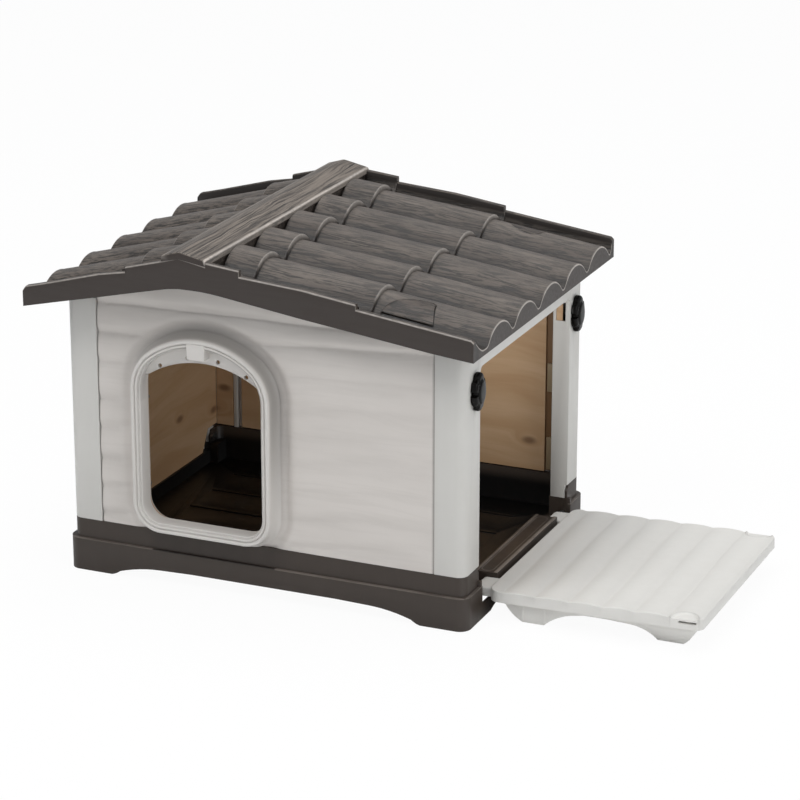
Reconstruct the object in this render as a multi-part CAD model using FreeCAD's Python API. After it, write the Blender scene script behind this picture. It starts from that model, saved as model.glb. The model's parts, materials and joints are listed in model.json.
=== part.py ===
import FreeCAD
import Part

import math
import os

# Plastic dog house with a gabled tile roof, an arched front door and a side panel
# that folds down into a porch.  Millimetres, +Z up, front towards -Y, porch at +X.
# The model is drawn about the middle of the house; SHIFT_X then moves it so that
# the origin is the middle of everything, on the ground, with the porch folded down.

Vec = FreeCAD.Vector

# ---- driving dimensions -------------------------------------------------------------
SHIFT_X = -152.0

# base tray
LEDGE_X, LEDGE_Y, LEDGE_Z = 333.3, 250.0, 52.3
RIM_X, RIM_Y, RIM_Z = 327.0, 243.7, 82.9
CAVITY_X, CAVITY_Y = 311.0, 227.7
FLOOR_TOP, FLOOR_THICK = 28.0, 4.0
TRAY_SKIN = 3.0
CORNER_R = 18.0
OPENING_Y, LEFT_OPENING_Y = 187.3, 196.0
SILL_Z, SILL_RIM = 50.0, 1.3
SILL_IN_X = 297.0
BRACKET_Z = 61.0
RIB_PITCH, RIB_HALF, RIB_X = 80.0, 4.0, (40.0, 250.0)
DRAIN_R = 15.0
FOOT_X, FOOT_Y = 264.0, 155.0
ARCH_Z = 20.5

# hinge of the porch
PIVOT_X, PIVOT_Z = 319.35, 36.0
PIN_R, PIN_GAP = 4.0, 0.05
LUG_IN_Y, LUG_OUT_Y, LUG_R = 129.0, 172.0, 8.0
RECESS_IN_X, RECESS_Z, RECESS_Y = 306.0, 24.0, 128.0

# walls and posts
WALL_SKIN = 7.0
BOARD_PITCH, BOARD_DEPTH = 47.5, 3.5
SEAM_LEFT, SEAM_RIGHT = -276.1, 278.4
POST_IN_X, POST_SKIN, POST_TOP = 299.0, 3.0, 442.0
POST_R, POST_FOOT_X, POST_FOOT_Y = 15.0, 323.0, 195.0
LEFT_POST_SKIN, STRIP_HALF = 5.0, 7.0
TONGUE_X, TONGUE_Y = (315.0, 320.0), (198.0, 217.0)
POST_SCREW_Y, POST_SCREW_Z = (203.0, 212.0), 72.0
HEADER_Z = 394.5
LINING_THICK, LINING_TOP, LINING_X, LINING_RIGHT = 6.3, 425.0, 315.0, 272.0
WALL_TOP = [(-276.1, 454.5), (-204.0, 475.0), (-135.0, 498.0), (-107.0, 500.0),
            (-63.0, 500.0), (-9.0, 489.5), (180.0, 461.0), (278.4, 447.8)]

# door
DOOR_X, DOOR_Z = -92.8, 88.5
DOOR_HALF, DOOR_BOTTOM_R = 115.2, 45.0
DOOR_SIDE_R, DOOR_SIDE_Z = 75.0, 315.9
DOOR_TOP_R, DOOR_TOP_Z = 140.0, 264.7
DOOR_FACE_Y, DOOR_LIP = -270.0, 15.0
SLEEVE = 4.0
VISOR_HOLE_R, VISOR_HOLES = 3.4, [(-71.8, 352.0), (-25.3, 369.6), (25.3, 369.6), (71.8, 352.0)]

# roof
ROOF_Y, FASCIA_IN_Y, RIM_IN_Y = 295.0, 291.0, 285.0
ROOF_LEFT, ROOF_RIGHT = -371.0, 359.0
ROOF_SKIN = 4.0
TILE_CENTRES = [-192.0 + 104.5 * i for i in range(5)]
TILE_HALF, TILE_SAG, TILE_PITCH, VALLEY_SAG = 44.0, 20.0, 104.5, 23.75
# each course: x and crest height at its upper end, x and crest height at its lower end
COURSES = [(-63.0, 535.0, -10.0, 529.3),
           (-30.0, 523.1, 178.0, 500.6),
           (160.0, 495.7, ROOF_RIGHT, 469.0),
           (-132.0, 530.9, -206.0, 512.1),
           (-180.0, 510.8, ROOF_LEFT, 460.0)]
FASCIA_TOP = [(359.0, 466.0), (355.0, 469.6), (175.7, 493.3), (175.7, 500.8), (88.9, 512.7),
              (-10.0, 520.4), (-10.0, 529.5), (-63.4, 535.0), (-63.4, 529.4), (-107.0, 538.4),
              (-135.5, 530.0), (-196.0, 514.0), (-196.0, 506.5), (-238.0, 499.0),
              (-337.0, 472.0), (-366.0, 465.0), (-371.0, 458.0)]
FASCIA_BOTTOM = [(-371.0, 432.6), (-291.0, 451.0), (-248.0, 460.5), (-188.0, 474.6),
                 (-142.0, 485.0), (-108.0, 490.5), (-76.0, 490.5), (88.5, 469.0),
                 (298.5, 442.0), (359.0, 436.0)]
CAP_LEFT, CAP_RIDGE, CAP_RIGHT = (-135.5, 539.0), (-107.0, 547.4), (-63.4, 538.4)
CAP_THICK, CAP_SKIN = 9.0, 4.0
COVER_GAP, COVER_THICK = 0.8, 3.0
COVER_Y, COVER_REACH = {-1: 239.5, 1: 274.0}, {-1: 50.0, 1: 60.0}
ROOF_SCREW, ROOF_SCREW_TOP = (246.0, 232.0), {-1: 460.0, 1: 479.5}
BOSS_TOP = 453.0

# porch panel, measured from the hinge axis: outwards and up
PANEL_IN, PANEL_OUT = 21.35, 355.65
PANEL_TOP, PANEL_BOTTOM, PANEL_HALF = 11.0, -7.65, 186.0
PANEL_R, PANEL_IN_R, PANEL_TILT = 13.0, 18.0, 1.1
PANEL_SKIN = 4.0
WAVES, WAVE_DEPTH = 6, 3.0
CATCH_OUT, CATCH_R = 328.65, 22.0
LEG_IN_Y, LEG_OUT_Y, LEG_TAPER_X = 158.0, 176.0, 545.0
PORCH_SCREW_X, PORCH_SCREW_Y = (410.0, 620.0), 167.0

# turn knobs
KNOB_Y, KNOB_Z, KNOB_IN_X, KNOB_OUT_X = 208.0, 364.0, 327.5, 340.5
KNOB_LONG, KNOB_SHORT, KNOB_LOBES = 29.5, 19.8, 12
SPINDLE_R, SPINDLE_IN_X = 6.0, 314.0
CAM_IN_X, CAM_OUT_X, CAM_REACH, CAM_HALF, CAM_PLAY = 315.0, 318.0, 29.5, 7.0, 1.5


# ---- small tools --------------------------------------------------------------------
def box(x0, x1, y0, y1, z0, z1):
    return Part.makeBox(x1 - x0, y1 - y0, z1 - z0, Vec(x0, y0, z0))


def rod(axis, centre, radius, lo, hi):
    """Cylinder along axis x, y or z; centre holds the two other coordinates."""
    if axis == "x":
        return Part.makeCylinder(radius, hi - lo, Vec(lo, centre[0], centre[1]), Vec(1, 0, 0))
    if axis == "y":
        return Part.makeCylinder(radius, hi - lo, Vec(centre[0], lo, centre[1]), Vec(0, 1, 0))
    return Part.makeCylinder(radius, hi - lo, Vec(centre[0], centre[1], lo), Vec(0, 0, 1))


def lift(plane, point, level):
    """A flat outline point on one of the three planes, at a level along the third axis."""
    a, b = point
    if plane == "xz":
        return Vec(a, level, b)
    if plane == "yz":
        return Vec(level, a, b)
    return Vec(a, b, level)


def sweep(plane, steps, lo, hi):
    """Solid of an outline pushed from lo to hi.  A step is a point for a straight run,
    or a pair (point on the arc, end point)."""
    first = steps[0]
    here = first
    edges = []
    for step in steps[1:] + [first]:
        if isinstance(step[0], tuple):
            middle, end = step
            edges.append(Part.Arc(lift(plane, here, lo), lift(plane, middle, lo),
                                  lift(plane, end, lo)).toShape())
        else:
            end = step
            if math.dist(here, end) > 1e-6:
                edges.append(Part.LineSegment(lift(plane, here, lo),
                                              lift(plane, end, lo)).toShape())
        here = end
    push = {"xz": Vec(0, hi - lo, 0), "yz": Vec(hi - lo, 0, 0), "xy": Vec(0, 0, hi - lo)}[plane]
    return Part.Face(Part.Wire(edges)).extrude(push)


def rounded(plane, a0, a1, b0, b1, radius, lo, hi):
    """Block with four rounded corners."""
    k = radius * (1 - math.sqrt(0.5))
    steps = [(a0 + radius, b0), (a1 - radius, b0), ((a1 - k, b0 + k), (a1, b0 + radius)),
             (a1, b1 - radius), ((a1 - k, b1 - k), (a1 - radius, b1)),
             (a0 + radius, b1), ((a0 + k, b1 - k), (a0, b1 - radius)),
             (a0, b0 + radius), ((a0 + k, b0 + k), (a0 + radius, b0))]
    return sweep(plane, steps, lo, hi)


def fuse(shapes):
    shapes = list(shapes)
    if len(shapes) == 1:
        return shapes[0]
    return shapes[0].fuse(shapes[1:]).removeSplitter()


def flip_x(shape):
    return shape.mirror(Vec(0, 0, 0), Vec(1, 0, 0))


def flip_y(shape):
    return shape.mirror(Vec(0, 0, 0), Vec(0, 1, 0))


def both_y(shape):
    return [shape, flip_y(shape)]


def turned(shape, angle):
    """Turned up about the porch hinge, in degrees."""
    copy = shape.copy()
    copy.rotate(Vec(PIVOT_X, 0, PIVOT_Z), Vec(0, -1, 0), angle)
    return copy


# ---- base tray ----------------------------------------------------------------------
def tray_outside(inset):
    lower = rounded("xy", -LEDGE_X + inset, LEDGE_X - inset, -LEDGE_Y + inset, LEDGE_Y - inset,
                    CORNER_R - inset, 0, LEDGE_Z - inset)
    upper = rounded("xy", -RIM_X + inset, RIM_X - inset, -RIM_Y + inset, RIM_Y - inset,
                    CORNER_R - 3 - inset, 0, RIM_Z - inset)
    return lower.fuse(upper)


def side_sill():
    """The low bar across the porch opening."""
    bar = box(SILL_IN_X, LEDGE_X - 0.3, -RECESS_Y, RECESS_Y, FLOOR_TOP - FLOOR_THICK, SILL_Z)
    rims = [box(LEDGE_X - 6, LEDGE_X - 0.3, -RECESS_Y, RECESS_Y, SILL_Z - 1, SILL_Z + SILL_RIM),
            box(SILL_IN_X, SILL_IN_X + 5, -RECESS_Y, RECESS_Y, SILL_Z - 1, SILL_Z + 1)]
    hollow = box(SILL_IN_X + 3, LEDGE_X - 3.3, -RECESS_Y + 6, RECESS_Y - 6, 0, SILL_Z - 3)
    return fuse([bar] + rims).cut(hollow)


def foot_arches():
    front = [(-FOOT_X, -1), ((-251, 2.6), (-244, 7)), ((-220, 13.5), (-174, 19)), (-120, ARCH_Z),
             (120, ARCH_Z), (174, 19), ((220, 13.5), (244, 7)), ((251, 2.6), (FOOT_X, -1))]
    side = [(-FOOT_Y, -1), ((-147, 2.2), (-135, 5)), ((-118, 12), (-90, 18)), (-60, ARCH_Z),
            (60, ARCH_Z), (90, 18), ((118, 12), (135, 5)), ((147, 2.2), (FOOT_Y, -1))]
    return [sweep("xz", front, -LEDGE_Y - 1, LEDGE_Y + 1),
            sweep("yz", side, -LEDGE_X - 1, LEDGE_X + 1)]


def base_tray():
    tray = tray_outside(0)
    well = rounded("xy", -CAVITY_X, CAVITY_X, -CAVITY_Y, CAVITY_Y, 12, FLOOR_TOP, RIM_Z + 1)
    under = tray_outside(TRAY_SKIN).cut(
        rounded("xy", -CAVITY_X - TRAY_SKIN, CAVITY_X + TRAY_SKIN, -CAVITY_Y - TRAY_SKIN,
                CAVITY_Y + TRAY_SKIN, 12 + TRAY_SKIN, FLOOR_TOP - FLOOR_THICK, RIM_Z + 1))
    tray = tray.cut([well, under])
    # the rim is cut down between the corner brackets on both sides
    tray = tray.cut([rim_gap(OPENING_Y), flip_x(rim_gap(LEFT_OPENING_Y))])
    low_cover = box(-LEDGE_X + 0.3, -CAVITY_X, -LEFT_OPENING_Y, LEFT_OPENING_Y, SILL_Z - 6, SILL_Z)
    corners = []
    for side in both_y(corner_block(OPENING_Y)):
        corners.append(side)
    for side in both_y(corner_block(LEFT_OPENING_Y)):
        corners.append(flip_x(side))
    plate = box(FOOT_X + 2, LEDGE_X - 6, FOOT_Y + 2, LEDGE_Y - 6, 0, TRAY_SKIN)
    feet = []
    for side in both_y(plate):
        feet += [side, flip_x(side)]
    tray = fuse([tray, low_cover] + corners + feet)
    # the side wall is opened for the hinge lugs at each end of the sill
    recess = box(RECESS_IN_X, LEDGE_X + 1, RECESS_Y, OPENING_Y, RECESS_Z, RIM_Z)
    tray = tray.cut(both_y(recess))
    tray = fuse([tray, side_sill()] + floor_ribs())
    tray = tray.cut(foot_arches())
    foot = box(POST_IN_X - 1, POST_FOOT_X + 0.1, OPENING_Y - 1, POST_FOOT_Y + 0.1, BRACKET_Z, RIM_Z + 1)
    tongue = box(-TONGUE_X[1] - 0.1, -TONGUE_X[0] + 0.1, TONGUE_Y[0] - 0.1, TONGUE_Y[1] + 0.1,
                 BRACKET_Z, RIM_Z + 1)
    holes = both_y(foot) + both_y(tongue) + [rod("z", (0, 0), DRAIN_R + 0.2, 0, FLOOR_TOP + 5)]
    for y0, y1 in ((RECESS_Y - 6, OPENING_Y + 6), (-OPENING_Y - 6, -RECESS_Y + 6)):
        holes.append(rod("y", (PIVOT_X, PIVOT_Z), PIN_R, y0, y1))
    for x, y in post_screw_places():
        holes.append(post_screw(x, y))
    return tray.cut(holes)


def rim_gap(half):
    """Cut-out of the rim on the right side, with slanted ends."""
    outline = [(-half - 9, RIM_Z + 1), (-half, RIM_Z - 10), (-half, SILL_Z - 3),
               (half, SILL_Z - 3), (half, RIM_Z - 10), (half + 9, RIM_Z + 1)]
    return sweep("yz", outline, CAVITY_X - 1, LEDGE_X + 1)


def corner_block(start):
    """Solid corner that carries a post, with a cheek at the end of the rim."""
    block = box(SILL_IN_X, CAVITY_X + TRAY_SKIN, start, CAVITY_Y + TRAY_SKIN,
                FLOOR_TOP - FLOOR_THICK, BRACKET_Z)
    cheek = box(SILL_IN_X, LEDGE_X - 1, start, start + 6, ARCH_Z + 0.5, BRACKET_Z)
    return block.fuse(cheek)


def floor_ribs():
    ribs = []
    for i in range(-2, 3):
        y = RIB_PITCH * i
        rib = rounded("xy", RIB_X[0], RIB_X[1], y - RIB_HALF, y + RIB_HALF, RIB_HALF - 0.1,
                      FLOOR_TOP - 1, FLOOR_TOP + 2)
        ribs += [rib, flip_x(rib)]
    return ribs


def drain_plug():
    plug = rod("z", (0, 0), DRAIN_R, FLOOR_TOP - 8, FLOOR_TOP)
    head = rod("z", (0, 0), DRAIN_R + 4, FLOOR_TOP, FLOOR_TOP + 2.5)
    grip = rounded("xy", -12, 12, -2.5, 2.5, 2.4, FLOOR_TOP + 2, FLOOR_TOP + 6)
    return fuse([plug, head, grip])


# ---- posts, rail and walls ----------------------------------------------------------
def post_screw_places():
    return [(side, end * y) for side in (1, -1) for end in (1, -1) for y in POST_SCREW_Y]


def post_screw(side, y):
    """Screw from inside the house that joins a post to the tray."""
    start = POST_IN_X if side > 0 else CAVITY_X
    end = CAVITY_X + TRAY_SKIN if side > 0 else TONGUE_X[1] - 1.0
    head = rod("x", (y, POST_SCREW_Z), 4.0, start - 2.5, start)
    screw = head.fuse(rod("x", (y, POST_SCREW_Z), 2.0, start, end))
    return screw if side > 0 else flip_x(screw)


def corner_post():
    """Right-hand front post: a hollow leg with a foot, and a thin flange along the front."""
    outer_y = -RIM_Y
    inner_y = -OPENING_Y + 0.1
    r = POST_R
    k = r * (1 - math.sqrt(0.5))
    shape = [(POST_IN_X, outer_y), (RIM_X - r, outer_y), ((RIM_X - k, outer_y + k), (RIM_X, outer_y + r)),
             (RIM_X, inner_y), (POST_IN_X, inner_y)]
    leg = sweep("xy", shape, RIM_Z, POST_TOP)
    s = POST_SKIN
    hollow = rounded("xy", POST_IN_X + s, RIM_X - s, outer_y + s, inner_y - s, 8.0,
                     RIM_Z + s, POST_TOP - s)
    flange = box(SEAM_RIGHT, POST_IN_X + 1, outer_y, outer_y + s, RIM_Z, POST_TOP)
    tongue = box(POST_IN_X, CAVITY_X - 1.5, -CAVITY_Y + 9, inner_y, BRACKET_Z, RIM_Z + 4)
    foot = box(POST_IN_X, POST_FOOT_X, -POST_FOOT_Y, inner_y, BRACKET_Z, RIM_Z + 2)
    return fuse([leg, flange, tongue, foot]).cut(hollow)


def right_post():
    """Post with the bore for the knob and the slot for its cam."""
    post = corner_post()
    bore = rod("x", (-KNOB_Y, KNOB_Z), SPINDLE_R + 0.1, RIM_X - POST_SKIN - 1, RIM_X + 1)
    slot = box(CAM_IN_X - 12, CAM_OUT_X + CAM_PLAY, -OPENING_Y - 5, -OPENING_Y + 1,
               KNOB_Z - CAM_HALF - 2, KNOB_Z + 26)
    cuts = [bore, slot] + [post_screw(1, -y) for y in POST_SCREW_Y]
    return post.cut(cuts)


def left_post():
    """Thin corner profile with a foot beside the wall and a tongue down into the rim of the tray."""
    t, inner_y = LEFT_POST_SKIN, -OPENING_Y + 0.1
    r, q = POST_R, POST_R - LEFT_POST_SKIN
    k, m = r * (1 - math.sqrt(0.5)), q * (1 - math.sqrt(0.5))
    x0, y0 = -RIM_X, -RIM_Y
    shape = [(x0 + r, y0), (SEAM_LEFT, y0), (SEAM_LEFT, y0 + t), (x0 + r, y0 + t),
             ((x0 + t + m, y0 + t + m), (x0 + t, y0 + r)), (x0 + t, inner_y), (x0, inner_y),
             (x0, y0 + r), ((x0 + k, y0 + k), (x0 + r, y0))]
    profile = sweep("xy", shape, RIM_Z, POST_TOP)
    strip = box(SEAM_LEFT - STRIP_HALF, SEAM_LEFT, y0 + 1, -CAVITY_Y - 3, RIM_Z, LINING_TOP)
    foot = box(x0, x0 + t, -LEFT_OPENING_Y + 0.2, inner_y, SILL_Z + 0.2, RIM_Z + 2)
    tongue = box(-TONGUE_X[1], -TONGUE_X[0], -TONGUE_Y[1], -TONGUE_Y[0], BRACKET_Z + 1, RIM_Z + 2.3)
    web = box(x0 + 2, -TONGUE_X[0], -TONGUE_Y[1], -TONGUE_Y[0], RIM_Z, RIM_Z + 2.3)
    post = fuse([profile, strip, foot, tongue, web])
    return post.cut([post_screw(-1, -y) for y in POST_SCREW_Y])


def header_rail():
    """Hollow rail over the porch opening, with rounded inside corners."""
    y, r = OPENING_Y - 0.2, 9.0
    k = r * (1 - math.sqrt(0.5))
    shape = [(-y, POST_TOP), (-y, HEADER_Z - r), ((-y + k, HEADER_Z - k), (-y + r, HEADER_Z)),
             (y - r, HEADER_Z), ((y - k, HEADER_Z - k), (y, HEADER_Z - r)), (y, POST_TOP)]
    rail = sweep("yz", shape, POST_IN_X, RIM_X)
    hollow = box(POST_IN_X + POST_SKIN, RIM_X - POST_SKIN, -y + 3, y - 3,
                 HEADER_Z + 3, POST_TOP - 3)
    return rail.cut(hollow)


def board_edges():
    count = int((POST_TOP + 60 - RIM_Z) / BOARD_PITCH)
    return [RIM_Z + 7 + BOARD_PITCH * i for i in range(count + 1)]


def boarded(plane, face, back, lo, hi, bottom, top):
    """Wall whose outer face is a row of gently rounded boards."""
    deep = face + math.copysign(BOARD_DEPTH, back - face)
    edges = [bottom] + [z for z in board_edges() if bottom + 5 < z < top - 5] + [top]
    shape = [(back, bottom), (deep, bottom)]
    for z0, z1 in zip(edges, edges[1:]):
        shape.append(((face, (z0 + z1) / 2), (deep, z1)))
    shape.append((back, top))
    return sweep(plane, shape, lo, hi)


def gable_outline(left, right, bottom, lower_by):
    top = [(x, z - lower_by) for x, z in reversed(WALL_TOP) if left < x < right]
    return [(left, bottom), (right, bottom), (right, WALL_TOP[-1][1] - lower_by)] + top + \
        [(left, WALL_TOP[0][1] - lower_by)]


def roof_boss(side):
    """Block at the top of a wall for the roof screw."""
    x, y = ROOF_SCREW
    block = box(x - 8, x + 8, y - 8, RIM_Y - 5, BOSS_TOP - 22, BOSS_TOP)
    return block if side > 0 else flip_y(block)


def end_wall(side):
    """Front (side -1) or back (side 1) wall below the gable."""
    face, back = side * RIM_Y, side * (RIM_Y - WALL_SKIN)
    left, right = SEAM_LEFT + 0.2, SEAM_RIGHT - 0.2
    wall = boarded("yz", face, back, left, right, RIM_Z + 0.1, 505)
    clip = sweep("xz", gable_outline(left, right, RIM_Z, 0), -RIM_Y - 1, RIM_Y + 1)
    strip = box(left, left + STRIP_HALF, CAVITY_Y + 3, RIM_Y - 1, RIM_Z + 0.1, LINING_TOP)
    wall = fuse([wall.common(clip), roof_boss(side), strip if side > 0 else flip_y(strip)])
    return wall.cut(roof_screw(side))


def front_wall():
    wall = end_wall(-1)
    hole = door_ring(DOOR_LIP - SLEEVE - 0.5, -RIM_Y - 1, -RIM_Y + 30)
    return wall.cut([hole] + door_screws())


def left_wall():
    return boarded("xz", -RIM_X, -RIM_X + LEFT_POST_SKIN + 0.5, -OPENING_Y + 0.3, OPENING_Y - 0.3,
                   SILL_Z, POST_TOP)


# ---- lining -------------------------------------------------------------------------
def end_lining(side, left, right):
    y0 = side * (RIM_Y - WALL_SKIN - 0.2)
    y1 = y0 - side * LINING_THICK
    flat = [(left, RIM_Z + 2), (right, RIM_Z + 2), (right, LINING_TOP), (left, LINING_TOP)]
    return sweep("xz", flat, min(y0, y1), max(y0, y1))


def main_lining(side):
    """Long board, from the plastic strip to the clips."""
    return end_lining(side, SEAM_LEFT + STRIP_HALF + 1.2, LINING_RIGHT)


def corner_lining(side):
    """Narrow board in the corner behind the strip."""
    return end_lining(side, -LINING_X + 0.5, SEAM_LEFT - STRIP_HALF - 1.2)


def lining_front():
    hole = door_ring(DOOR_LIP - SLEEVE - 0.5, -RIM_Y - 1, -RIM_Y + 30)
    return main_lining(-1).cut([hole] + door_screws())


def lining_left():
    """Board on the left wall; its lower corners clear the brackets of the tray."""
    half = CAVITY_Y + 1.8
    low, high = SILL_Z + 0.3, RIM_Z + 4
    shape = [(-half, high), (-OPENING_Y - 9, high), (-OPENING_Y + 12, low), (OPENING_Y - 12, low),
             (OPENING_Y + 9, high), (half, high), (half, LINING_TOP), (-half, LINING_TOP)]
    return sweep("yz", shape, -LINING_X - LINING_THICK, -LINING_X)


def lining_clips():
    """Four stops beside the free edges of the front and back lining."""
    clips = []
    y = RIM_Y - WALL_SKIN - LINING_THICK - 0.2
    for z0, z1 in ((221.0, 268.0), (89.0, 144.0)):
        foot = box(SEAM_RIGHT + 0.3, 286.0, y - 3, RIM_Y - POST_SKIN, z0, z1)
        lip = box(LINING_RIGHT + 3.5, 286.0, y - 3, y, z0, z1)
        clips += both_y(fuse([foot, lip]))
    return Part.makeCompound(clips)


# ---- door frame ---------------------------------------------------------------------
def door_ring(inset, y0, y1):
    """Plug of the door outline, a given distance inside its outer edge."""
    half, bottom = DOOR_HALF - inset, DOOR_Z + inset
    low_r, side_r = DOOR_BOTTOM_R - inset, DOOR_SIDE_R - inset
    side_x = DOOR_HALF - DOOR_SIDE_R
    lean = math.atan2(DOOR_SIDE_Z - DOOR_TOP_Z, side_x)
    top_r = DOOR_TOP_R - inset

    def at(cx, cz, r, angle):
        return (DOOR_X + cx + r * math.cos(angle), cz + r * math.sin(angle))

    low_z = bottom + low_r
    eighth = math.pi / 4
    steps = [(DOOR_X - half + low_r, bottom), (DOOR_X + half - low_r, bottom),
             (at(half - low_r, low_z, low_r, -eighth), at(half - low_r, low_z, low_r, 0)),
             (DOOR_X + half, DOOR_SIDE_Z),
             (at(side_x, DOOR_SIDE_Z, side_r, lean / 2), at(side_x, DOOR_SIDE_Z, side_r, lean)),
             (at(0, DOOR_TOP_Z, top_r, math.pi / 2), at(-side_x, DOOR_SIDE_Z, side_r, math.pi - lean)),
             (at(-side_x, DOOR_SIDE_Z, side_r, math.pi - lean / 2), (DOOR_X - half, DOOR_SIDE_Z)),
             (DOOR_X - half, low_z),
             (at(-half + low_r, low_z, low_r, math.pi + eighth), (DOOR_X - half + low_r, bottom))]
    return sweep("xz", steps, y0, y1)


def door_screws():
    """Six screws from inside that clamp both halves of the door frame to the wall."""
    inset = 5.5
    top_r = DOOR_TOP_R - inset
    places = [(s * (DOOR_HALF - inset), z) for s in (-1, 1) for z in (150.0, 290.0)]
    places += [(top_r * math.cos(math.radians(a)), DOOR_TOP_Z + top_r * math.sin(math.radians(a)))
               for a in (70.0, 110.0)]
    inner = -RIM_Y + WALL_SKIN + LINING_THICK + 4.2
    screws = []
    for dx, z in places:
        shank = rod("y", (DOOR_X + dx, z), 2.0, DOOR_FACE_Y + 12, inner)
        head = rod("y", (DOOR_X + dx, z), 4.0, inner, inner + 2.5)
        screws.append(shank.fuse(head))
    return screws


def door_frame_outer():
    wall_y = -RIM_Y - 0.1
    flare = door_ring(-7.0, wall_y - 5, wall_y)
    body = door_ring(0.0, DOOR_FACE_Y, wall_y)
    front = [e for e in body.Edges if e.BoundBox.YMax < DOOR_FACE_Y + 0.01]
    body = body.makeFillet(5.0, front)
    sleeve = door_ring(DOOR_LIP - SLEEVE, DOOR_FACE_Y + 2, -RIM_Y + 4.5)
    groove = door_ring(6.0, DOOR_FACE_Y - 1, DOOR_FACE_Y + 2).cut(
        door_ring(8.0, DOOR_FACE_Y - 2, DOOR_FACE_Y + 3))
    hole = door_ring(DOOR_LIP, DOOR_FACE_Y - 1, -RIM_Y + 30)
    frame = fuse([flare, body, sleeve]).cut([groove, hole])
    visor = door_ring(DOOR_LIP - 1, -251.0, -247.0)
    below = sweep("xz", [(DOOR_X - 120, 335), (DOOR_X - 97, 335), ((DOOR_X, 364), (DOOR_X + 97, 335)),
                         (DOOR_X + 120, 335), (DOOR_X + 120, 60), (DOOR_X - 120, 60)], -252, -246)
    visor = visor.cut(below)
    frame = fuse([frame, visor])
    holes = [rod("y", (DOOR_X + dx, z), VISOR_HOLE_R, -253, -245) for dx, z in VISOR_HOLES]
    return frame.cut(holes + door_screws())


def door_frame_inner():
    """Flat ring on the lining, a little wider than the opening so that it stays out of sight."""
    y0 = -RIM_Y + WALL_SKIN + LINING_THICK + 0.2
    ring = door_ring(-3.0, y0, y0 + 4).cut(door_ring(DOOR_LIP - 6, y0 - 1, y0 + 5))
    return ring.cut(door_screws())


# ---- roof ---------------------------------------------------------------------------
def tile_outline(crest, floor):
    """Cross-section of the tiles along Y: arches joined by narrow rounded valleys."""
    steps = [(-RIM_IN_Y - 1, crest - 1), (-RIM_IN_Y + 1, crest - 1.5),
             ((-270.0, crest - 16), (-255.0, crest - VALLEY_SAG)),
             (TILE_CENTRES[0] - TILE_PITCH / 2, crest - VALLEY_SAG)]
    for y in TILE_CENTRES:
        foot = crest - TILE_SAG
        steps.append((y - TILE_HALF, foot))
        steps.append(((y, crest), (y + TILE_HALF, foot)))
        if y < TILE_CENTRES[-1]:
            half = TILE_PITCH / 2
            steps.append(((y + half, crest - VALLEY_SAG), (y + TILE_PITCH - TILE_HALF, foot)))
    steps += [(TILE_CENTRES[-1] + TILE_PITCH / 2, crest - VALLEY_SAG), (RIM_IN_Y + 1, crest - VALLEY_SAG),
              (RIM_IN_Y + 1, floor), (-RIM_IN_Y - 1, floor)]
    return steps


def course(x0, z0, x1, z1, lower_by):
    """One row of tiles, pushed down the slope from its upper end to its lower end."""
    steps = tile_outline(z0 - lower_by, 400.0)
    slab = sweep("yz", steps, x0, x0 + 1)
    face = [f for f in slab.Faces if abs(f.BoundBox.XMax - x0) < 1e-6][0]
    return face.extrude(Vec(x1 - x0, 0, z1 - z0))


BEDS = {}


def tile_bed(lower_by, end_inset):
    """All courses together, with the seat of the ridge cap."""
    if (lower_by, end_inset) in BEDS:
        return BEDS[lower_by, end_inset]
    rows = []
    for x0, z0, x1, z1 in COURSES:
        way = math.copysign(1, x1 - x0)
        rise = (z1 - z0) / (x1 - x0)
        x_low = x1 - way * end_inset
        x_high = x0 + way * end_inset
        rows.append(course(x_high, z0 + rise * (x_high - x0), x_low, z0 + rise * (x_low - x0), lower_by))
    d = lower_by
    ridge = [(-140.0, 400), (-140.0, 508 - d), (-134.0 + end_inset, 508 - d),
             (-134.0 + end_inset, 528 - d), (-107.0, 537 - d), (-66.0 - end_inset, 528 - d),
             (-66.0 - end_inset, 511.5 - d), (-58.0, 510.7 - d), (-58.0, 400)]
    rows.append(sweep("xz", ridge, -RIM_IN_Y - 1, RIM_IN_Y + 1))
    BEDS[lower_by, end_inset] = fuse(rows)
    return BEDS[lower_by, end_inset]


def under_fascia():
    """Everything above the lower edge line of the roof."""
    return sweep("xz", FASCIA_BOTTOM + [(ROOF_RIGHT, 600.0), (ROOF_LEFT, 600.0)], -ROOF_Y, ROOF_Y)


def fascia(lower_by, y0, y1, end_inset):
    top = [(min(max(x, ROOF_LEFT + end_inset), ROOF_RIGHT - end_inset), z - lower_by)
           for x, z in FASCIA_TOP]
    outline = [(ROOF_LEFT + end_inset, 420.0), (ROOF_RIGHT - end_inset, 420.0)] + top
    return sweep("xz", outline, y0, y1)


def cover_outline(side, gap):
    """Half-moon seen from above: straight towards the fascia, round towards the crest."""
    y0, reach = -COVER_Y[side] - gap, COVER_REACH[side] + 2 * gap
    steps = [(188.0 - gap, y0), (273.0 + gap, y0), (261.0 + gap, y0 + reach * 0.74),
             ((257.5 + gap, y0 + reach * 0.93), (245.0, y0 + reach)),
             ((206.0 - gap, y0 + reach * 0.64), (189.0 - gap, y0 + reach * 0.1))]
    plug = sweep("xy", steps, 400.0, 560.0)
    return plug if side < 0 else flip_y(plug)


def roof_cover(side):
    """Half-moon plate set flush into the flank of the first or last tile arch."""
    plug = cover_outline(side, 0.0).common(tile_bed(0.0, 0.0))
    return plug.cut(tile_bed(COVER_THICK, 0.0))


def roof_screw(side):
    """Screw under the cover, down through the roof into the boss of the wall."""
    place = (ROOF_SCREW[0], side * ROOF_SCREW[1])
    top = ROOF_SCREW_TOP[side]
    shank = rod("z", place, 2.5, BOSS_TOP - 17, top - 3)
    return shank.fuse(rod("z", place, 5.0, top - 3, top))


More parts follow.
